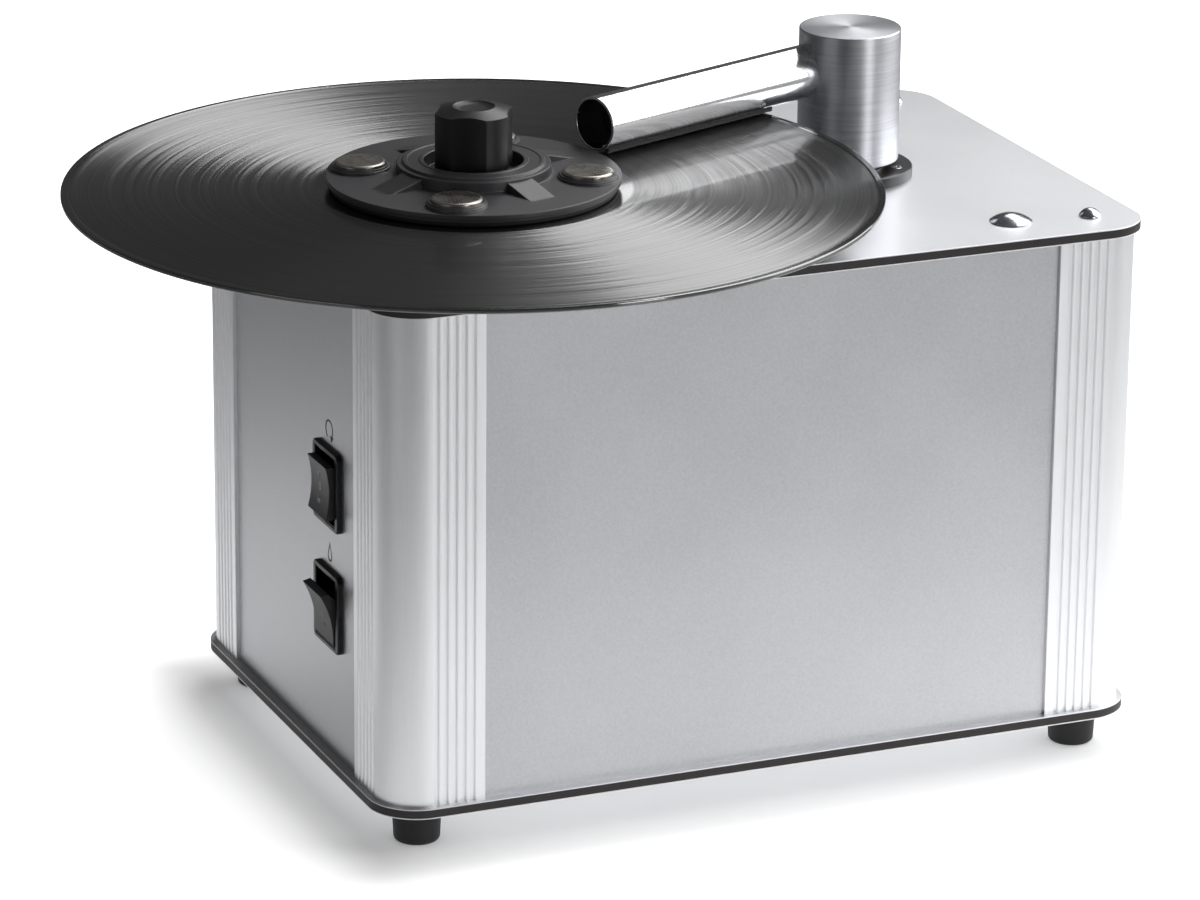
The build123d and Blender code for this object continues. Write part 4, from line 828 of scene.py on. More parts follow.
def finish_piece(
    piece: bpy.types.Object, body: str, finish: Any, *stands_for: str, slot: str = ""
) -> None:
    """Coat a piece, put it on its body and hide what it stands for.

    Args:
        piece: The finished mesh.
        body: Body that it rides on.
        finish: Its finish.
        *stands_for: Nodes that it replaces.
        slot: Material slot that the finish would be taken from, if not the one that the finish is
            named after; not used.
    """
    shop.coat(piece, finish)
    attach(piece, body)
    if stands_for:
        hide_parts(*stands_for)
    log.info("%s rides on %s for %s", piece.name, body, ", ".join(stands_for) or "nothing")


def refined_copy(node: str, name: str, edge_mm: float) -> bpy.types.Object:
    """Copy a node, merge its triangles into faces and round its edges.

    Args:
        node: Node whose shape is right.
        name: Name of the copy.
        edge_mm: Rounding of its edges.

    Returns:
        The refined piece.
    """
    source = frame["nodes"][node]
    clear_selection()
    piece = add_object(name, source.data.copy())
    piece.matrix_world = source.matrix_world.copy()
    take(piece)
    bpy.ops.object.mode_set(mode="EDIT")
    bpy.ops.mesh.select_all(action="SELECT")
    bpy.ops.mesh.remove_doubles(threshold=SAME_POINT)
    bpy.ops.mesh.customdata_custom_splitnormals_clear()
    bpy.ops.mesh.dissolve_limited(angle_limit=math.radians(1.0))
    bpy.ops.object.mode_set(mode="OBJECT")
    settle(piece)
    soften_edges(piece, edge_mm, 2)
    return piece


def node_box(node: str) -> Tuple[Vector, Vector]:
    """Give a node's lowest and highest corners in mm."""
    low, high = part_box(node)
    return Vector(low) / MM, Vector(high) / MM


def node_axis(node: str) -> Point2:
    """Give the middle of a round node, in mm."""
    low, high = node_box(node)
    return ((low.x + high.x) / 2, (low.y + high.y) / 2)


def node_radius(node: str) -> float:
    """Give the radius of a round node, in mm."""
    low, high = node_box(node)
    return (high.x - low.x) / 2


# ---------------------------------------------------------------------------- cabinet
@dataclass
class Cabinet:
    """Plates, corner profiles, feet and deck fasteners."""

    body: str = "cabinet"
    plate_corner: float = 19.3
    plate_steps: int = 20
    skin_edge: float = 0.14
    overrun: float = 2.0
    deck_holes: Dict[str, float] = field(
        default_factory=lambda: {"spindle_bushes": 9.0, "guide_sleeve": 17.5})
    flange: float = 37.8
    wall: float = 5.3
    corner: float = 17.0
    corner_steps: int = 22
    groove_steps: int = 3
    groove_start: float = 18.5
    groove_pitch: float = 3.6
    groove_count: int = 5
    groove_half: float = 0.55
    groove_depth: float = 0.85
    ridge_edge: float = 0.32
    foot_top: float = 9.5
    foot_bottom: float = 8.7
    foot_hole: float = 2.1
    foot_sink: float = 4.1
    foot_sink_top: float = 5.0
    screw_head: float = 4.3
    screw_shank: float = 2.0
    bolt_shank: float = 3.0
    dome_rim: float = 0.5
    dome_steps: int = 12

    def plate(self, name: str, holes: Dict[str, float]) -> None:
        """Make one composite plate as a core and two skins.

        Args:
            name: "top_plate" or "base_plate".
            holes: Radius of each hole, by the node that stands in it.
        """
        low, high = node_box(f"{name}_skins")
        core_low, core_high = node_box(f"{name}_core")
        half_x, half_y = (high.x - low.x) / 2, (high.y - low.y) / 2
        outline = rounded(
            [(side_x * half_x, side_y * half_y, self.plate_corner)
             for side_x, side_y in ((1, -1), (1, 1), (-1, 1), (-1, -1))], self.plate_steps)
        core = prism(f"{name}_filled_core", outline, core_low.z, core_high.z)
        skins = welded(f"{name}_metal_skins", [
            prism("lower_skin", outline, low.z, core_low.z),
            prism("upper_skin", outline, core_high.z, high.z)])
        for node, hole in holes.items():
            tool = drill(node_axis(node), hole, low.z - self.overrun, high.z + self.overrun, 96)
            cut(core, tool, keep_tool=True)
            cut(skins, tool)
        tidy_mesh(core)
        soften_edges(skins, self.skin_edge, 2)
        finish_piece(core, self.body, Paint.DARK_CORE, f"{name}_core")
        finish_piece(skins, self.body, Paint.DECK_SKIN, f"{name}_skins")

    def profile_outline(self) -> List[Point2]:
        """Draw the profile's section with its outer corner at the origin.

        Returns:
            The outline's points in mm.
        """
        half, depth, edge = self.groove_half, self.groove_depth, self.ridge_edge
        lower: List[Corner] = [(0.0, 0.0, self.corner)]
        for k in range(self.groove_count):
            x = self.groove_start + self.groove_pitch * k
            lower += [(x - half - edge, 0.0, 0.5), (x - half, depth, 0.25),
                      (x + half, depth, 0.25), (x + half + edge, 0.0, 0.5)]
        lower += [(self.flange, 0.0, 0.3), (self.flange, self.wall, 0.2)]
        inner: Corner = (self.wall, self.wall, self.corner - self.wall)
        upper = [(y, x, r) for x, y, r in reversed(lower[1:])]
        return self.fine_corner(lower + [inner] + upper)

    def fine_corner(self, corners: Sequence[Corner]) -> List[Point2]:
        """Round an outline whose first corner needs many more arc points."""
        points = rounded(corners, self.groove_steps)
        arc = rounded(corners[:2] + corners[-1:], self.corner_steps)
        return arc[: self.corner_steps + 1] + points[self.groove_steps + 1 :]

    def profiles(self) -> None:
        """Make the front left profile and turn it into the other three."""
        low, high = node_box("corner_profile_front_left")
        first = prism("profile", self.profile_outline(), low.z, high.z)
        sides = {"front_left": (-1, -1), "front_right": (1, -1),
                 "back_right": (1, 1), "back_left": (-1, 1)}
        for quarter, (name, (side_x, side_y)) in enumerate(sides.items()):
            piece = copied(first, f"extruded_{name}_profile")
            piece.matrix_world = (
                Matrix.Translation(Vector((-side_x * low.x, -side_y * low.y, 0)) * MM)
                @ Matrix.Rotation(math.radians(90 * quarter), 4, "Z"))
            settle(piece)
            finish_piece(piece, self.body, Paint.SILVER_ANODISED, f"corner_profile_{name}")
        bpy.data.objects.remove(first, do_unlink=True)

    def corner_places(self, node: str, inset: float) -> List[Point2]:
        """Give four places that far in from the corners of a node's box."""
        _, high = node_box(node)
        return [(sx * (high.x - inset), sy * (high.y - inset)) for sx in (-1, 1) for sy in (-1, 1)]

    def feet(self) -> None:
        """Turn a rubber foot with a sink for its screw at each of four places."""
        low, high = node_box("rubber_feet")
        outline = [
            (self.foot_hole, self.foot_sink_top, 0), (self.foot_sink, self.foot_sink_top, 0),
            (self.foot_sink, low.z, 0.3), (self.foot_bottom, low.z, 1.6),
            (self.foot_top, high.z, 0.5), (self.foot_hole, high.z, 0)]
        feet = welded("moulded_feet", [
            turned("foot", outline, place, 72, arc_steps=6)
            for place in self.corner_places("rubber_feet", self.foot_top)])
        finish_piece(feet, self.body, Paint.BLACK_RUBBER, "rubber_feet")

    def dome(
        self, name: str, place: Point2, heights: Point3, radius: float, shank: float
    ) -> bpy.types.Object:
        """Turn one low-domed fastener.

        Args:
            name: Name of the piece.
            place: Place of its axis.
            heights: Bottom of its shank, seat of its head and top of its head.
            radius: Radius of its head.
            shank: Radius of its shank.

        Returns:
            The fastener.
        """
        low, seat, top = heights
        rise = top - seat - self.dome_rim
        ball = (radius ** 2 + rise ** 2) / (2 * rise)
        outline = [(0, low, 0), (shank - 0.3, low, 0), (shank, low + 0.4, 0), (shank, seat, 0),
                   (radius, seat, 0.15)]
        for k in range(self.dome_steps + 1):
            angle = math.asin(radius / ball) * (1 - k / self.dome_steps)
            height = seat + self.dome_rim + rise - ball * (1 - math.cos(angle))
            outline.append((ball * math.sin(angle), height, 0))
        return turned(name, outline, place, 96, closed=False)

    def fasteners(self) -> None:
        """Make the domed screws at the corners and the larger domed bolt."""
        deck = node_box("top_plate_skins")[1].z
        low, high = node_box("corner_dome_screws")
        screws = welded("domed_corner_screws", [
            self.dome("screw", place, (low.z, deck, high.z), self.screw_head, self.screw_shank)
            for place in self.corner_places("corner_dome_screws", self.screw_head)])
        finish_piece(screws, self.body, Paint.ZINC, "corner_dome_screws")
        low, high = node_box("bracket_dome_bolt")
        place = node_axis("bracket_dome_bolt")
        bolt = self.dome("domed_bracket_bolt", place, (low.z, deck, high.z),
                         high.x - place[0], self.bolt_shank)
        finish_piece(bolt, self.body, Paint.ZINC, "bracket_dome_bolt")

    def build(self) -> None:
        """Make every piece of the cabinet."""
        self.plate("top_plate", self.deck_holes)
        self.plate("base_plate", {})
        self.profiles()
        self.feet()
        self.fasteners()


# ---------------------------------------------------------------------------- switches
@dataclass
class Switches:
    """Two rocker switches in the left panel, with printed marks."""

    window_width: float = 20.1
    window_height: float = 26.4
    rocker_width: float = 19.3
    half_height: float = 10.5
    reach: float = 8.7
    hollow: float = 1.5
    edge: float = 3.2
    face_steps: int = 24
    pivot_radius: float = 1.5
    pivot_depth: float = 5.4
    waist_half: float = 3.75
    tail: float = 3.0
    tail_half: float = 2.25
    moulded_edge: float = 0.45
    cavity: float = 13.5
    bezel_thickness: float = 2.0
    bezel_corner: float = 2.4
    bezel_edge: float = 0.55
    rest_tilt: Point2 = (0.0, 14.0)
    ink: float = 0.05
    ring_radii: Point2 = (1.1, 1.65)
    ring_squeeze: float = 0.62
    bar_half: Point2 = (1.5, 0.27)
    bar_gap: float = 0.75
    bar_root: float = 0.25
    symbol_root: float = 0.02
    symbol_gap: float = 6.5
    arrow_radii: Point2 = (4.0, 3.2)
    arrow_degrees: Tuple[int, int, int] = (-40, 245, 9)
    drop_size: Point2 = (3.4, 4.0)
    drop_steps: int = 40

    def bezel(self, node: str, name: str) -> float:
        """Make one housing with its bezel and window.

        Args:
            node: Node that it replaces.
            name: Name of the piece.

        Returns:
            The height of the switch's middle, in mm.
        """
        low, high = node_box(node)
        middle_y, centre_z = (low.y + high.y) / 2, (low.z + high.z) / 2
        piece = block(name, low, (low.x + self.bezel_thickness, high.y, high.z))
        bpy.ops.object.mode_set(mode="EDIT")
        select_parts(piece, "EDGE", lambda m, d: abs(d.x) > SQUARELY)
        bpy.ops.mesh.bevel(offset=self.bezel_corner * MM, segments=8, affect="EDGES")
        select_parts(piece, "FACE", lambda m, d: d.x < -SQUARELY)
        bpy.ops.mesh.bevel(offset=self.bezel_edge * MM, segments=4, affect="EDGES")
        bpy.ops.object.mode_set(mode="OBJECT")
        half_w, half_h = self.window_width / 2, self.window_height / 2
        # Margin round the window, front and back of the block, and what is done with it.
        steps = [
            (0.9, low.x + 1.0, high.x, join_onto),
            (0.6, low.x - 2, low.x + 0.3, cut),
            (0.0, low.x - 3, low.x + self.cavity, cut),
        ]
        for rim, start, end, act in steps:
            act(piece, block(
                "window", (start, middle_y - half_w - rim, centre_z - half_h - rim),
                (end, middle_y + half_w + rim, centre_z + half_h + rim)))
        tidy_mesh(piece)
        finish_piece(piece, "cabinet", Paint.GLOSS_BLACK, node)
        return centre_z

    def face_depth(self, height: float) -> float:
        """Give how far the rocker's curved face stands from its pivot at that height."""
        radius = (self.half_height ** 2 + self.hollow ** 2) / (2 * self.hollow)
        return self.reach - self.hollow + radius - math.sqrt(radius ** 2 - height ** 2)

    def rocker(
        self, name: str, node: str, pivot: Point3, tilt: float, marks: Dict[str, float]
    ) -> None:
        """Make one rocker with its marks.

        Args:
            name: Name of the piece.
            node: Node that it replaces, named as the body that it rides on.
            pivot: Place of its pivot, in mm.
            tilt: How far its top stands out, in degrees.
            marks: Height of each printed mark, by its kind.
        """
        heights = [self.half_height * (1 - 2 * k / self.face_steps)
                   for k in range(1, self.face_steps)]
        face = [(self.face_depth(height), height, 0.0) for height in heights]
        upper: List[Corner] = [
            (-self.tail, self.tail_half, 0.5), (self.pivot_radius, self.waist_half, 0.4),
            (self.reach - self.edge, self.half_height, 0.4), (self.reach, self.half_height, 0.0)]
        lower = [(x, -y, edge) for x, y, edge in reversed(upper)]
        corners = upper[1:] + face + lower + upper[:1]
        half = self.rocker_width / 2
        piece = prism(name, rounded(corners, 3), -half, half)
        soften_edges(piece, self.moulded_edge, 4)
        prints = [bar for kind, height in marks.items() for bar in self.mark(kind, height)]
        lean = math.radians(tilt)
        out = Vector((-math.cos(lean), 0.0, -math.sin(lean)))
        up = Vector((-math.sin(lean), 0.0, math.cos(lean)))
        for part in [piece] + prints:
            matrix = Matrix((out, up, out.cross(up))).transposed().to_4x4()
            part.matrix_world = Matrix.Translation(Vector(pivot) * MM) @ matrix
            settle(part)
        finish_piece(piece, node, Paint.ROCKER_GREY, node)
        finish_piece(welded(f"{name}_marks", prints), node, Paint.WHITE_INK, slot="rocker_grey")

    def mark(self, kind: str, height: float) -> List[bpy.types.Object]:
        """Print one mark on the rocker's face, in the rocker's own axes.

        Args:
            kind: "I", "II" or "O".
            height: Height of the mark from the pivot, in mm.

        Returns:
            The printed shapes.
        """
        depth, ink = self.face_depth(height), self.ink
        if kind == "O":
            inner, outer = self.ring_radii
            ring = turned("ring", [(inner, -ink, 0), (outer, -ink, 0), (outer, ink, 0),
                                   (inner, ink, 0)], (0, 0), 40)
            ring.scale = (1.0, self.ring_squeeze, 1.0)
            settle(ring)
            laid_along(ring, (depth, height, 0.0), Vector((1, 0, 0)), Vector((0, 1, 0)))
            return [ring]
        half_h, half_w = self.bar_half
        return [
            block("bar", (depth - self.bar_root, height - half_h, z - half_w),
                  (depth + ink, height + half_h, z + half_w))
            for z in ((0.0,) if kind == "I" else (-self.bar_gap, self.bar_gap))
        ]

    def turning_symbol(self) -> bpy.types.Object:
        """Draw an arrow that turns most of the way round.

        Returns:
            The arrow, flat about the origin.
        """
        outer, inner = self.arrow_radii
        sweep = [math.radians(degrees) for degrees in range(*self.arrow_degrees)]
        arc = [on_circle((0, 0), outer, angle) for angle in sweep]
        arc += [on_circle((0, 0), inner, angle) for angle in reversed(sweep)]
        arrow = prism("turning_arrow", arc, -self.symbol_root, self.ink)
        x, y = on_circle((0, 0), (outer + inner) / 2, sweep[0])
        head = [(x + 1.8, y + 0.3), (x - 1.8, y + 0.3), (x - 0.4, y - 2.2)]
        point = prism("arrow_head", head, -self.symbol_root, self.ink)
        return welded("printed_turning_symbol", [arrow, point])

    def drop_symbol(self) -> bpy.types.Object:
        """Draw the outline of a drop.

        Returns:
            The drop, flat about the origin.
        """
        width, height = self.drop_size
        turns = [2 * math.pi * k / self.drop_steps for k in range(self.drop_steps)]
        drop = [(width * math.sin(t) * (1 - math.cos(t)) / 2, height * math.cos(t)) for t in turns]
        ring = prism("drop", drop, -self.symbol_root, self.ink)
        cut(ring, prism("drop_inside", [(x * 0.7, y * 0.72 - 0.35) for x, y in drop], -1.0, 1.0))
        ring.name = "printed_drop_symbol"
        return ring

    def build(self) -> None:
        """Make both switches, with a turning arrow and a drop printed above them."""
        low, high = node_box("motor_switch_housing")
        middle_y = (low.y + high.y) / 2
        motor_z = self.bezel("motor_switch_housing", "motor_switch_bezel")
        vacuum_z = self.bezel("vacuum_switch_housing", "vacuum_switch_bezel")
        pivot_x = low.x + self.pivot_depth
        self.rocker("three_way_rocker", "motor_rocker", (pivot_x, middle_y, motor_z),
                    self.rest_tilt[0], {"I": 6.0, "O": 0.3, "II": -5.8})
        self.rocker("two_way_rocker", "vacuum_rocker", (pivot_x, middle_y, vacuum_z),
                    self.rest_tilt[1], {"I": -1.2, "O": -6.0})
        gap = (high.z - low.z) / 2 + self.symbol_gap
        panel_x = node_box("left_panel")[0].x
        symbols = (self.turning_symbol(), self.drop_symbol())
        for piece, switch_z in zip(symbols, (motor_z, vacuum_z)):
            laid_along(piece, (panel_x, middle_y, switch_z + gap), Vector((-1, 0, 0)),
                       Vector((0, -1, 0)))
            tidy_mesh(piece)
            finish_piece(piece, "cabinet", Paint.DARK_INK, slot="gloss_black")


# ---------------------------------------------------------------------------- platter
@dataclass
class Platter:
    """Spindle, platter, mat and the record on it."""

    body: str = "platter"
    record_hole: float = 3.62
    rim_bead: float = 2.4
    bead_slope: float = 0.7
    label_radius: float = 50.0
    run_out: float = 58.5
    groove_relief: float = 0.2
    gap_relief: float = 0.05
    run_out_relief: float = 0.06
    gap_half: Point2 = (1.1, 0.7)
    track_gaps: Tuple[float, ...] = (79.0, 97.5, 112.0, 130.0)
    hub: float = 15.0
    plate: float = 4.0
    spindle_radius: float = 5.0
    pin_radius: float = 3.55
    pin_length: float = 23.8
    mat_hole: float = 3.6
    mat_groove: float = 0.35
    mat_groove_half: Point2 = (1.2, 0.6)
    mat_rim: float = 6.0
    mat_pitch: float = 9.0
    mat_grooves: int = 4

    def record(self) -> None:
        """Turn the record with its bead, grooved band, track gaps and label."""
        low, high = node_box("record")
        centre, radius = node_axis("record"), node_radius("record")
        top, bottom, relief, label = high.z, low.z, self.groove_relief, self.label_radius
        bead = radius - self.rim_bead
        band = bead - self.bead_slope
        wide, narrow = self.gap_half
        gap_floor = top - relief - self.gap_relief
        run_out_floor = top - relief - self.run_out_relief
        corners: List[Corner] = [
            (radius, top, 0.55), (bead, top, 0.5), (band, top - relief, 0.5)]
        for gap in reversed(self.track_gaps):
            corners += [(gap + wide, top - relief, 0.0), (gap + narrow, gap_floor, 0.0),
                        (gap - narrow, gap_floor, 0.0), (gap - wide, top - relief, 0.0)]
        corners += [
            (self.run_out + 0.5, top - relief, 0.0), (self.run_out, run_out_floor, 0.0),
            (label + 1.0, run_out_floor, 0.4), (label, top, 0.4), (self.record_hole, top, 0.0),
            (self.record_hole, bottom, 0.0), (label, bottom, 0.4),
            (label + 1.0, bottom + relief, 0.4), (band, bottom + relief, 0.5),
            (bead, bottom, 0.5), (radius, bottom, 0.55)]
        piece = turned("pressed_record", corners, centre, FINE_STEPS)
        vinyl = Vinyl((centre[0] * MM, centre[1] * MM, 0.0), self.run_out, band)
        finish_piece(piece, self.body, vinyl, "record", slot="vinyl")

    def platter(self) -> None:
        """Turn the platter on its hub."""
        low, high = node_box("platter")
        radius, bore, plate = node_radius("platter"), self.spindle_radius, high.z - self.plate
        piece = turned(
            "turned_platter",
            [(bore, low.z, 0), (self.hub, low.z, 0.6), (self.hub, plate - 2, 1.0),
             (self.hub + 2, plate, 0.6), (radius, plate, 0.8), (radius, high.z, 0.4),
             (bore, high.z, 0)],
            node_axis("platter"))
        finish_piece(piece, self.body, Paint.TURNED_ALUMINIUM, "platter")

    def mat(self) -> None:
        """Turn the mat with its round grooves."""
        low, high = node_box("platter_mat")
        radius, floor = node_radius("platter_mat"), high.z - self.mat_groove
        wide, narrow = self.mat_groove_half
        corners: List[Corner] = [
            (self.mat_hole, low.z, 0), (radius, low.z, 0), (radius, high.z, 0.3)]
        for ring in range(self.mat_grooves):
            r = radius - self.mat_rim - ring * self.mat_pitch
            corners += [(r + wide, high.z, 0.1), (r + narrow, floor, 0.1),
                        (r - narrow, floor, 0.1), (r - wide, high.z, 0.1)]
        corners.append((self.mat_hole, high.z, 0))
        mat = turned("ribbed_platter_mat", corners, node_axis("platter"))
        finish_piece(mat, self.body, Paint.BLACK_RUBBER, "platter_mat")

    def spindle(self) -> None:
        """Turn the spindle with its thin upper pin."""
        low, high = node_box("spindle")
        shaft, pin, step = self.spindle_radius, self.pin_radius, high.z - self.pin_length
        spindle = turned(
            "ground_spindle",
            [(0, low.z, 0), (shaft, low.z, 0.5), (shaft, step, 0), (pin, step, 0),
             (pin, high.z - 2.0, 0.8), (2.2, high.z, 0.8), (0, high.z, 0)],
            node_axis("platter"), 96, closed=False)
        finish_piece(spindle, self.body, Paint.STEEL, "spindle")

    def build(self) -> None:
        """Make the platter group."""
        self.record()
        self.platter()
        self.mat()
        self.spindle()


# ---------------------------------------------------------------------------- clamp
@dataclass
class Clamp:
    """Screw-down record clamp: disc, collar, ribs, sockets, weights, seal and knob."""

    body: str = "clamp"
    rim: float = 54.4
    rim_top: float = 4.76
    crown: float = 5.67
    collar: float = 28.4
    shoulder: float = 9.4
    collar_top_radius: float = 26.0
    collar_top: float = 10.35
    well: float = 18.2
    well_floor: float = 5.4
    seal: float = 1.7
    seal_width: float = 6.0
    bush: float = 5.5
    bush_hole: float = 3.65
    bush_collar: float = 8.5
    bush_collar_top: float = 7.0
    weight_circle: float = 42.1
    weight_radius: float = 9.45
    weight_top: float = 7.96
    weight_depth: float = 3.4
    weight_gap: float = 0.1
    socket: float = 11.2
    first_angle: float = -30.0
    count: int = 4
    rib_width: float = 11.4
    rib_reach: float = 41.5
    rib_root: float = 1.5
    rib_edge: float = 0.35
    knob_bore: float = 5.6
    knob_bore_top: float = 16.3
    knob_radius: float = 14.9
    knob_shoulder: float = 28.55
    knob_top: float = 30.45
    knob_dish: float = 7.6
    knob_edge: float = 0.3
    flute_angle: float = 52.0
    flute_sag: float = 0.8
    centre: Point2 = field(init=False)
    base: float = field(init=False)

    def __post_init__(self) -> None:
        """Find the spindle's axis and the height of the record's top."""
        self.centre = node_axis("clamp_seal")
        self.base = node_box("clamp_seal")[0].z

    def lifted(self, corners: Sequence[Corner]) -> List[Corner]:
        """Lift an outline that is drawn from the record's top."""
        return [(r, self.base + z, edge) for r, z, edge in corners]

    def weight_places(self) -> List[Point2]:
        """Give the place of each weight."""
        return ring_places(self.centre, self.weight_circle, self.first_angle, self.count)

    def disc(self) -> None:
        """Turn the disc, then fuse ramp ribs and weight sockets onto it."""
        step = self.seal + 1.0
        disc = turned("moulded_clamp_disc", self.lifted([
            (self.bush, 0.3, 0), (14.0, 0.3, 0.3), (14.0, self.seal, 0.3),
            (self.rim - 1.0, self.seal, 0.2), (self.rim - 1.0, step, 0.1),
            (self.rim, step + 0.3, 0.25), (self.rim, self.rim_top, 0.45),
            (44.0, 5.1, 6.0), (self.collar + 1.2, self.crown - 0.25, 0.4),
            (self.collar, self.crown - 0.1, 0.5), (self.collar, self.shoulder, 0.4),
            (self.collar_top_radius + 0.5, self.shoulder, 0.3),
            (self.collar_top_radius, self.collar_top, 0.5),
            (24.6, self.collar_top, 0.2), (24.3, self.collar_top - 0.25, 0.2),
            (20.2, self.collar_top - 0.25, 0.2), (19.9, self.collar_top, 0.2),
            (self.well, self.collar_top, 0.45), (self.well, self.well_floor, 0.5),
            (self.bush, self.well_floor, 0),
        ]), self.centre, 192)
        for k in range(self.count):
            join_onto(disc, self.rib(self.first_angle + 360 / self.count * (k + 0.5)))
        hole, floor = self.weight_radius + self.weight_gap, self.weight_top - self.weight_depth
        ring = [(0, 3.0, 0), (self.socket, 3.0, 0), (self.socket, 6.1, 0.3), (10.5, 6.15, 0.15),
                (10.4, 6.8, 0.25), (0, 6.8, 0)]
        pocket = [(0, floor, 0), (hole, floor, 0), (hole, 6.5, 0), (hole + 0.35, 9.0, 0),
                  (0, 9.0, 0)]
        for place in self.weight_places():
            join_onto(disc, turned("socket", self.lifted(ring), place, 72, closed=False))
            cut(disc, turned("pocket", self.lifted(pocket), place, 72, closed=False))
        tidy_mesh(disc)
        finish_piece(disc, self.body, Paint.CLAMP_BLACK, "clamp_disc")

    def rib(self, angle: float) -> bpy.types.Object:
        """Shape one ramp rib from a box and turn it into place.

        Args:
            angle: Direction of the rib, in degrees.

        Returns:
            The rib.
        """
        start, half = self.collar - self.rib_root, self.rib_width / 2
        rib = block("rib", (start, -half, self.base + 3.2),
                    (self.rib_reach, half, self.base + self.shoulder - 0.5))
        bpy.ops.object.mode_set(mode="EDIT")
        select_parts(rib, "VERT", lambda m, d: m.x > start + 1 and m.z > self.base + 5)
        drop = self.shoulder - 0.5 - (self.rim_top + 0.25)
        bpy.ops.transform.translate(value=(0, 0, -drop * MM))
        bpy.ops.object.mode_set(mode="OBJECT")
        soften_edges(rib, self.rib_edge)
        rib.matrix_world = (
            Matrix.Translation(Vector((*self.centre, 0)) * MM)
            @ Matrix.Rotation(math.radians(angle), 4, "Z"))
        settle(rib)
        return rib

    def weights(self) -> None:
        """Turn four rubbed metal discs in their sockets."""
        radius, top = self.weight_radius, self.weight_top
        outline = self.lifted([
            (0, top - self.weight_depth, 0), (radius, top - self.weight_depth, 0.1),
            (radius, top - 0.25, 0.5), (radius - 1.0, top, 0.9), (0, top, 0)])
        discs = welded("rubbed_metal_discs", [
            turned("weight", outline, place, 80, closed=False) for place in self.weight_places()])
        tidy_mesh(discs)
        finish_piece(discs, self.body, Paint.NICKEL, "clamp_weights")

    def knob(self) -> None:
        """Turn the knob, cut its flutes and round its edges."""
        bottom, top = node_box("clamp_knob")[0].z, self.base + self.knob_top
        bore, bore_top, dish = self.knob_bore, self.base + self.knob_bore_top, self.knob_dish
        knob = turned("fluted_clamp_knob", [
            (0, bore_top, 0), (bore, bore_top, 0), (bore, bottom, 0),
            (self.knob_radius, bottom, 0.3), (self.knob_radius, self.base + self.knob_shoulder, 0),
            (dish + 0.2, top, 0.3), (dish - 0.8, top - 0.5, 0.4), (dish - 2.6, top - 0.85, 0.4),
            (0, top - 0.9, 0)], self.centre, 192, closed=False)
        half = math.radians(self.flute_angle / 2)
        chord = self.knob_radius * math.sin(half)
        radius = (chord ** 2 + self.flute_sag ** 2) / (2 * self.flute_sag)
        reach = self.knob_radius * math.cos(half) - self.flute_sag + radius
        for place in ring_places(self.centre, reach, self.first_angle, self.count):
            cut(knob, drill(place, radius, bottom - 3, self.base + 40, 360))
        tidy_mesh(knob)
        soften_edges(knob, self.knob_edge)
        finish_piece(knob, "clamp_knob", Paint.KNOB_BLACK, "clamp_knob")

    def seal_ring(self) -> None:
        """Turn the rubber ring under the rim."""
        outer, high = node_radius("clamp_seal"), node_box("clamp_seal")[1].z
        inner = outer - self.seal_width
        seal = turned(
            "rubber_seal_ring",
            [(inner, self.base, 0.3), (outer, self.base, 0.7), (outer, high, 0.1),
             (inner, high, 0.1)],
            self.centre)
        finish_piece(seal, self.body, Paint.BLACK_RUBBER, "clamp_seal")

    def brass_bush(self) -> None:
        """Turn the bush with its collar."""
        low, high = node_box("clamp_bush")
        hole, outer, collar = self.bush_hole, self.bush, self.bush_collar
        seat, top = self.base + self.well_floor, self.base + self.bush_collar_top
        bush = turned(
            "brass_clamp_bush",
            [(hole, low.z, 0.2), (outer, low.z, 0), (outer, seat, 0), (collar, seat, 0.2),
             (collar, top, 0.3), (outer, top, 0), (outer, high.z, 0.4), (hole, high.z, 0.3)],
            self.centre, 96)
        finish_piece(bush, self.body, Paint.BRASS, "clamp_bush")

    def build(self) -> None:
        """Make the clamp."""
        self.disc()
        self.seal_ring()
        self.brass_bush()
        self.weights()
        self.knob()


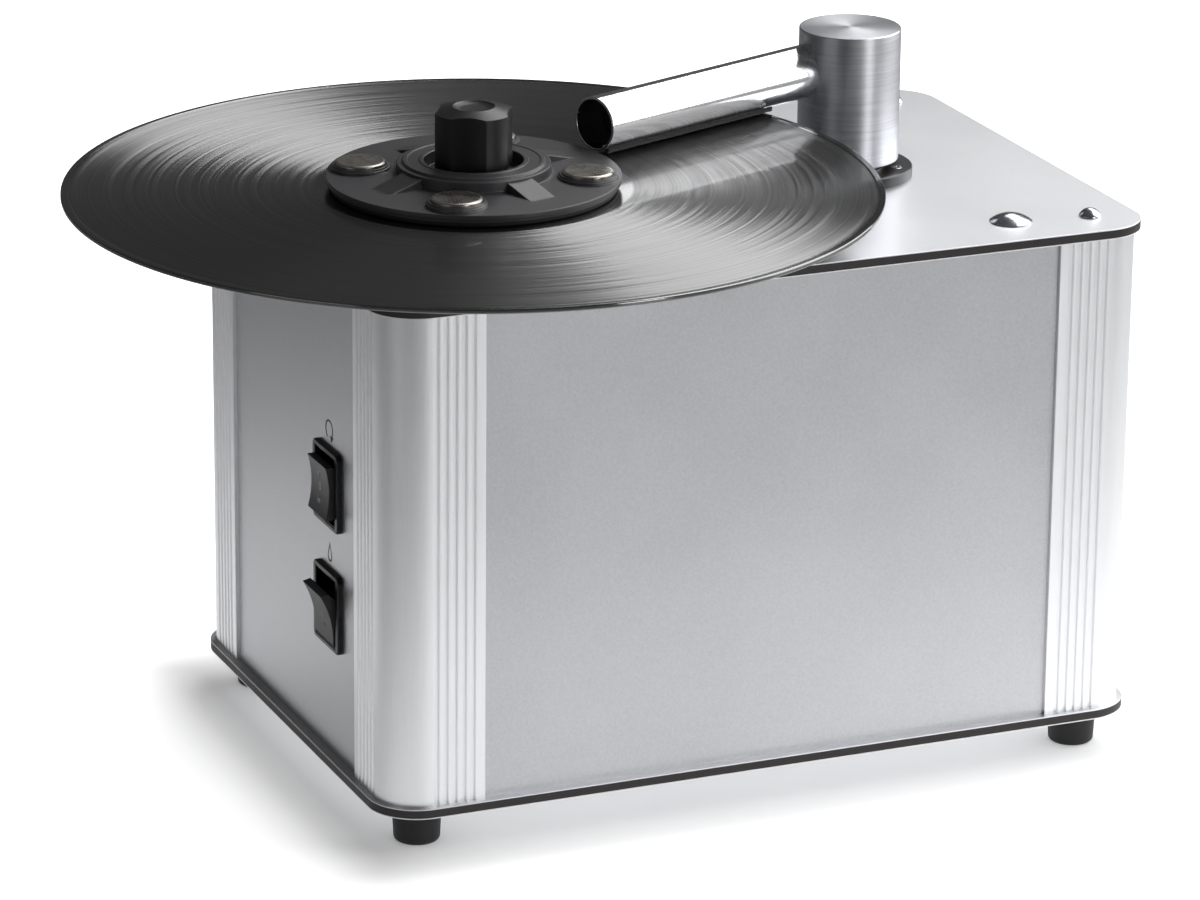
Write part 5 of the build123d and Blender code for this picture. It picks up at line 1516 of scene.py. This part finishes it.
# ---------------------------------------------------------------------------- arm
@dataclass
class SuctionArm:
    """Column, tube, velvet strips, lift pipe and the flange on the deck."""

    body: str = "suction_arm"
    tube_radius: float = 10.25
    tube_wall: float = 1.0
    tube_offset: float = 8.0
    tube_start: float = 5.0
    tube_play: float = 0.02
    plug_depth: float = 14.0
    plug_length: float = 6.0
    column_bore: float = 17.0
    plenum: float = 0.3
    bore_length: float = 30.0
    slot_width: float = 3.0
    slot_length: float = 88.0
    slot_start: float = 4.0
    velvet_width: float = 2.4
    velvet_steps: int = 6
    velvet_lean: Point2 = (1.12, 0.86)
    velvet_lift: float = 0.05
    velvet_gap: float = 0.03
    pile_mm: float = 0.9
    pile_height: float = 0.22
    pile_middle: float = 0.75
    pile_cell: float = 0.42
    pipe_radii: Point2 = (12.5, 14.0)
    flange_bore: float = 14.4
    screw_circle: float = 19.75
    screw_angle: float = -37.6
    screw_count: int = 3
    screw_radius: float = 1.2
    screw_head: float = 2.2
    screw_length: float = 10.0
    ahead: Vector = field(init=False)
    origin: Point3 = field(init=False)
    reach: float = field(init=False)

    def __post_init__(self) -> None:
        """Find the tube's axis, which passes over the record's middle, and its open end."""
        spindle, column = node_axis("record"), node_axis("arm_column")
        apart = Vector((spindle[0] - column[0], spindle[1] - column[1]))
        angle = math.atan2(apart.y, apart.x) + math.asin(self.tube_offset / apart.length)
        ahead = self.ahead = Vector((math.cos(angle), math.sin(angle), 0))
        low, _ = node_box("arm_tube")
        x, y = column[0] + self.tube_offset * ahead.y, column[1] - self.tube_offset * ahead.x
        self.origin = (x, y, low.z + self.tube_radius)
        self.reach = (x - low.x - abs(ahead.y) * self.tube_radius) / -ahead.x

    def column(self) -> None:
        """Turn the column and open it for the tube."""
        low, high = node_box("arm_column")
        radius, bore = node_radius("arm_column"), self.column_bore
        plenum = self.origin[2] + self.tube_radius + self.plenum
        column = turned(
            "turned_column",
            [(bore, low.z, 0.3), (radius, low.z, 0.5), (radius, high.z, 0.55), (0, high.z, 0),
             (0, plenum, 0), (bore, plenum, 0.3)],
            node_axis("arm_column"), 192, closed=False)
        tool = drill((0, 0), self.tube_radius + self.tube_play, self.tube_start,
                     self.bore_length, 128)
        laid_along(tool, self.origin, self.ahead, UPWARDS)
        cut(column, tool)
        tidy_mesh(column)
        finish_piece(column, self.body, Paint.TURNED_ALUMINIUM, "arm_column")

    def tube(self) -> None:
        """Turn the tube, open its suction slot and close it with a plug inside."""
        radius, reach, half_slot = self.tube_radius, self.reach, self.slot_width / 2
        inner, slot_end = radius - self.tube_wall, reach - self.slot_start
        tube = turned(
            "chromed_tube",
            [(inner, self.tube_start, 0), (inner, reach, 0.3), (radius, reach, 0.5),
             (radius, self.tube_start, 0)])
        cut(tube, block("slot", (-radius - 2, -half_slot, slot_end - self.slot_length),
                        (-radius + 2, half_slot, slot_end)))
        tidy_mesh(tube)
        laid_along(tube, self.origin, self.ahead, UPWARDS)
        finish_piece(tube, self.body, Paint.CHROME, "arm_tube")
        face = reach - self.plug_depth
        back = face - self.plug_length
        plug = turned(
            "recessed_end_plug",
            [(0, back, 0), (inner, back, 0), (inner, face, 0.6), (inner - 2.0, face - 0.4, 0.8),
             (0, face - 0.6, 0)],
            steps=96, closed=False)
        laid_along(plug, self.origin, self.ahead, UPWARDS)
        finish_piece(plug, self.body, Paint.SOCKET_BLACK, "tube_end_plug")

    def velvet(self) -> None:
        """Shape two velvet strips that hug the tube beside its slot."""
        bottom = self.origin[2] - node_box("velvet_strips")[0].z
        end = self.reach - self.slot_start
        lean_in, lean_out = self.velvet_lean
        seat = self.tube_radius + self.velvet_gap
        strips = []
        for side in (-1, 1):
            near = side * self.slot_width / 2
            far = side * (self.slot_width / 2 + self.velvet_width)
            section = [(-bottom, near * lean_in), (-bottom + self.velvet_lift, far * lean_out)]
            for k in range(self.velvet_steps + 1):
                across = far + (near - far) * k / self.velvet_steps
                section.append((-math.sqrt(seat ** 2 - across ** 2), across))
            strips.append(prism("strip", section, end - self.slot_length, end))
        velvet = welded("velvet_lips", strips)
        apply_modifier(velvet, "REMESH", mode="VOXEL", voxel_size=self.pile_cell * MM)
        pile = bpy.data.textures.new("velvet_pile", "CLOUDS")
        pile.noise_scale = self.pile_mm * MM
        apply_modifier(velvet, "DISPLACE", texture=pile, strength=self.pile_height * MM,
                       mid_level=self.pile_middle, texture_coords="LOCAL")
        take(velvet)
        bpy.ops.object.shade_smooth()
        laid_along(velvet, self.origin, self.ahead, UPWARDS)
        finish_piece(velvet, self.body, Paint.VELVET, "velvet_strips")

    def lift(self) -> None:
        """Turn the lift pipe that the column stands on."""
        low, high = node_box("lift_pipe")
        inner, outer = self.pipe_radii
        pipe = turned(
            "ground_lift_pipe",
            [(inner, low.z, 0.2), (outer, low.z, 0.3), (outer, high.z, 0.3), (inner, high.z, 0.2)],
            node_axis("lift_pipe"), 128)
        finish_piece(pipe, "lift_carriage", Paint.STEEL, "lift_pipe")

    def flange(self) -> None:
        """Turn the flange ring with its countersunk screws."""
        low, high = node_box("column_flange")
        centre, top = node_axis("column_flange"), high.z
        radius, bore = node_radius("column_flange"), self.flange_bore
        shank, head, tip = self.screw_radius, self.screw_head, top - self.screw_length
        ring = turned(
            "enamelled_flange_ring",
            [(bore, low.z, 0), (radius, low.z, 0), (radius, top, 0.8), (bore, top, 0.35)], centre)
        sink = [(0, low.z - 1, 0), (shank + 0.05, low.z - 1, 0), (shank + 0.05, top - 1.2, 0),
                (head + 0.15, top - 0.1, 0), (head + 0.15, top + 1, 0), (0, top + 1, 0)]
        body = [(0, tip, 0), (shank, tip, 0.2), (shank, top - 1.25, 0), (head, top - 0.25, 0),
                (head, top - 0.1, 0.05), (head - 0.3, top, 0.2), (0, top, 0)]
        key = [(0, top - 1.0, 0), (1.05, top - 0.9, 0), (1.05, top + 1, 0), (0, top + 1, 0)]
        screws = []
        for place in ring_places(centre, self.screw_circle, self.screw_angle, self.screw_count):
            cut(ring, turned("sink", sink, place, 48, closed=False))
            screw = turned("screw", body, place, 48, closed=False)
            cut(screw, turned("socket", key, place, 6, closed=False))
            screws.append(screw)
        tidy_mesh(ring)
        finish_piece(ring, "cabinet", Paint.FLANGE_BLACK, "column_flange")
        heads = welded("countersunk_flange_screws", screws)
        tidy_mesh(heads)
        finish_piece(heads, "cabinet", Paint.ZINC, "flange_screws")

    def build(self) -> None:
        """Make the arm."""
        self.column()
        self.tube()
        self.velvet()
        self.lift()
        self.flange()


# ---------------------------------------------------------------------------- back
@dataclass
class BackFittings:
    """Grille, mains inlet and drain valve on the back panel."""

    bore: float = 3.5
    neck: float = 6.0
    collar: float = 9.0
    collar_length: float = 14.0
    pipe: float = 4.3
    barb: float = 5.0
    barbs: int = 3

    def build(self) -> None:
        """Refine the shapes that are right already and turn the valve."""
        table = [
            ("exhaust_grille", "moulded_exhaust_grille", "cabinet", Paint.SOCKET_BLACK, 0.3),
            ("mains_inlet", "moulded_mains_inlet", "cabinet", Paint.SOCKET_BLACK, 0.25),
            ("inlet_prongs", "plated_inlet_prongs", "cabinet", Paint.BRASS, 0.3),
            ("drain_lever", "pressed_drain_lever", "drain_lever", Paint.ZINC, 0.3),
        ]
        for node, name, body, paint, edge in table:
            finish_piece(refined_copy(node, name, edge), body, paint, node)
        self.valve()

    def valve(self) -> None:
        """Turn the drain valve with a round collar and a barbed spout."""
        low, high = node_box("drain_valve")
        wall = node_box("back_panel")[1].y - low.y
        at = wall + self.collar_length
        end = high.y - low.y
        pitch = (end - at) / (self.barbs + 1)
        pipe, barb = self.pipe, self.barb
        corners: List[Corner] = [
            (self.bore, 0, 0), (self.neck, 0, 0.3), (self.neck, wall, 0), (self.collar, wall, 0.6),
            (self.collar, at, 0.8), (pipe, at, 0.2)]
        for k in range(self.barbs):
            corners += [(pipe, at + pitch * (k + 0.7), 0.1), (barb, at + pitch * (k + 0.72), 0.1),
                        (pipe, at + pitch * (k + 1.6), 0.1)]
        corners += [(pipe - 0.2, end, 0.3), (self.bore, end, 0.2)]
        valve = turned("barbed_drain_valve", corners, steps=96)
        middle = ((low.x + high.x) / 2, low.y, (low.z + high.z) / 2)
        laid_along(valve, middle, Vector((0, 1, 0)), UPWARDS)
        finish_piece(valve, "cabinet", Paint.BRASS, "drain_valve")


# ---------------------------------------------------------------------------- carried over
class CarriedOver:
    """Nodes whose shape is right, which get their real material."""

    def build(self) -> None:
        """Coat every node that is still shown by its record slot."""
        slots = {row["node"]: row["material_slot"] for row in frame["record"]["subparts"]}
        for name, node in frame["nodes"].items():
            if node.hide_render:
                continue
            shop.coat(node, Paint[slots[name].upper()])
            log.info("%s keeps its shape", name)


# ---------------------------------------------------------------------------- studio
@dataclass
class Softbox:
    """One rectangular lamp."""

    name: str
    place: Point3
    aim: Point3
    width: float
    height: float
    radiance: float

    def build(self) -> None:
        """Hang the lamp and aim it."""
        data = bpy.data.lights.new(self.name, "AREA")
        data.shape = "RECTANGLE"
        data.size = self.width
        data.size_y = self.height
        data.energy = self.radiance * math.pi * self.width * self.height
        lamp = add_object(self.name, data)
        lamp.location = self.place
        lamp.visible_camera = False
        towards = Vector(self.aim) - Vector(self.place)
        lamp.rotation_euler = towards.to_track_quat("-Z", "Y").to_euler()


@dataclass
class Studio:
    """Camera, pale floor, softboxes and room, with places in metres."""

    camera_place: Point3 = (-0.8654, -1.9725, 0.8425)
    yaw: float = 22.955
    pitch: float = -18.969
    roll: float = 0.529
    focal_px: float = 5841.886
    image_width: int = 1200
    sensor: float = 36.0
    principal: Point2 = (593.053, 464.641)
    image_centre: Point2 = (600.0, 450.0)
    clip_end: float = 50.0
    floor_size: float = 12.0
    footprint: Point3 = (0.1563, 0.1063, 0.0)
    # Painted shadow: the glow that the camera sees on the floor fades from full to low near the
    # machine's footprint.
    shadow_reach: float = 0.06
    shadow_stops: Tuple[Point2, ...] = (
        (0.0, 0.22), (0.17, 0.38), (0.33, 0.62), (0.5, 0.82), (0.67, 0.92), (1.0, 1.0))
    # Painted reflection: a glow near the machine that only reflections see, brightening the panels'
    # reflections of the floor.
    bounce: float = 0.4
    bounce_span: Point2 = (0.05, 0.4)
    # Painted shade: farther off, the floor turns this grey for every ray but the camera's,
    # darkening its reflections and the light it throws back.
    far_tone: float = 0.25
    far_span: Point2 = (0.12, 0.9)
    room_stops: Tuple[Point2, ...] = ((0.0, 0.1), (0.35, 0.07), (0.7, 0.07), (1.0, 0.1))
    side_stops: Tuple[Point2, ...] = ((0.0, 0.9), (0.5, 1.0), (1.0, 1.2))
    softboxes: Tuple[Softbox, ...] = (
        Softbox("leaning_softbox", (1.475, -0.14, 1.0), (0.0, -0.14, -0.28), 2.12, 2.52, 2.8),
        Softbox("back_softbox", (0.94, 1.38, 1.615), (0.185, 1.38, 0.96), 1.14, 0.76, 3.6),
        Softbox("front_strip", (0.9, -2.4, 0.5), (0.0, 0.0, 0.2), 0.6, 1.0, 6.4),
        Softbox("left_fill", (-2.2, -0.95, 0.3), (0.0, 0.0, 0.1), 1.2, 0.8, 0.9),
    )

    def camera(self) -> None:
        """Set the camera at its fitted place."""
        data = bpy.data.cameras.new("camera")
        data.sensor_width = self.sensor
        data.lens = self.focal_px / self.image_width * self.sensor
        data.shift_x = (self.image_centre[0] - self.principal[0]) / self.image_width
        data.shift_y = (self.principal[1] - self.image_centre[1]) / self.image_width
        data.clip_end = self.clip_end
        camera = add_object("camera", data)
        turn = (Matrix.Rotation(math.radians(-self.yaw), 4, "Z")
                @ Matrix.Rotation(math.radians(90 + self.pitch), 4, "X")
                @ Matrix.Rotation(math.radians(self.roll), 4, "Z"))
        camera.matrix_world = Matrix.Translation(self.camera_place) @ turn
        bpy.context.scene.camera = camera

    def floor(self) -> None:
        """Lay a pale floor that the camera sees as white outside the shadow, which is partly cast
        by the lamps and partly painted by a glow that fades near the machine.
        """
        clear_selection()
        bpy.ops.mesh.primitive_plane_add(size=self.floor_size, location=(0, 0, 0))
        floor = bpy.context.object
        floor.name = "studio_floor"
        bpy.ops.object.mode_set(mode="EDIT")
        bpy.ops.mesh.subdivide(number_cuts=4)
        bpy.ops.object.mode_set(mode="OBJECT")
        floor.data.materials.append(self.floor_paint())

    def floor_paint(self) -> bpy.types.Material:
        """Paint the floor with a glow that only the camera and reflections see; near the machine
        reflections see more of it, a painted reflection, and farther off every ray but the camera's
        sees a darker grey floor, painted shade.

        Returns:
            The floor's material.
        """
        material = bpy.data.materials.new("pale_painted_floor")
        desk = NodeDesk(material)
        place = desk.place()
        colour = desk.ramp(desk.noise(place, 6.0, 3.0),
                           [(0.3, linear("f4f4f4")), (0.7, linear("f6f6f6"))])
        outside = desk.vector("SUBTRACT", desk.vector("ABSOLUTE", place), self.footprint)
        clear = desk.vector("MAXIMUM", outside, (0.0, 0.0, 0.0))
        away = desk.vector("LENGTH", clear, output="Value")
        rays = desk.add("ShaderNodeLightPath").outputs
        # Painted shadow: the camera's glow is weaker near the footprint, darkening the floor round
        # the base.
        painted_shadow_glow = desk.ramp(desk.spread(away, (0.0, self.shadow_reach)), levels(self.shadow_stops))
        seen = desk.math("MULTIPLY", rays["Is Camera Ray"], painted_shadow_glow)
        # Painted reflection: near the machine the floor glows for reflected rays only.
        bounce = desk.spread(away, self.bounce_span, (self.bounce, 0.0), smooth=True)
        glow = desk.math("MULTIPLY_ADD", rays["Is Glossy Ray"], bounce, seen)
        # Painted shade: away from the machine the floor is darker for every ray but the camera's.
        unseen = desk.math("SUBTRACT", 1.0, rays["Is Camera Ray"])
        painted_far_shade = desk.math("MULTIPLY", desk.spread(away, self.far_span, smooth=True), unseen)
        tone = desk.mix(painted_far_shade, colour, grey(self.far_tone))
        paint = desk.add("ShaderNodeBsdfDiffuse", None, {"Color": tone})
        light = desk.add("ShaderNodeEmission", None, {"Color": WHITE, "Strength": glow})
        both = desk.add("ShaderNodeAddShader", None, {0: paint.outputs[0], 1: light.outputs[0]})
        desk.add("ShaderNodeOutputMaterial", None, {"Surface": both.outputs[0]})
        return material

    def room(self) -> None:
        """Make a room that is white to the camera and graded in reflections."""
        world = bpy.context.scene.world = bpy.data.worlds.new("studio_room")
        desk = NodeDesk(world)
        seen = desk.add("ShaderNodeLightPath").outputs["Is Camera Ray"]
        direction = desk.add("ShaderNodeTexCoord").outputs["Generated"]
        parts = desk.add("ShaderNodeSeparateXYZ", None, {"Vector": direction}).outputs
        height = desk.ramp(parts["Z"], levels(self.room_stops))
        side = desk.ramp(desk.spread(parts["X"], (-1.0, 1.0)), levels(self.side_stops))
        graded = desk.mix(1.0, height, side, "MULTIPLY")
        colour = desk.mix(seen, graded, WHITE)
        light = desk.add("ShaderNodeBackground", None, {"Color": colour, "Strength": 1.0})
        desk.add("ShaderNodeOutputWorld", None, {"Surface": light.outputs[0]})

    def build(self) -> None:
        """Set the whole studio."""
        bpy.context.scene.view_settings.view_transform = "Standard"
        self.camera()
        self.floor()
        self.room()
        for softbox in self.softboxes:
            softbox.build()


def main() -> None:
    """Dress the machine and set it in the studio."""
    logging.basicConfig(level=logging.INFO, format="%(message)s")
    for group in (Cabinet(), Switches(), Platter(), Clamp(), SuctionArm(), BackFittings(),
                  CarriedOver(), Studio()):
        log.info("building %s", type(group).__name__)
        group.build()


if __name__ == "__main__":
    main()
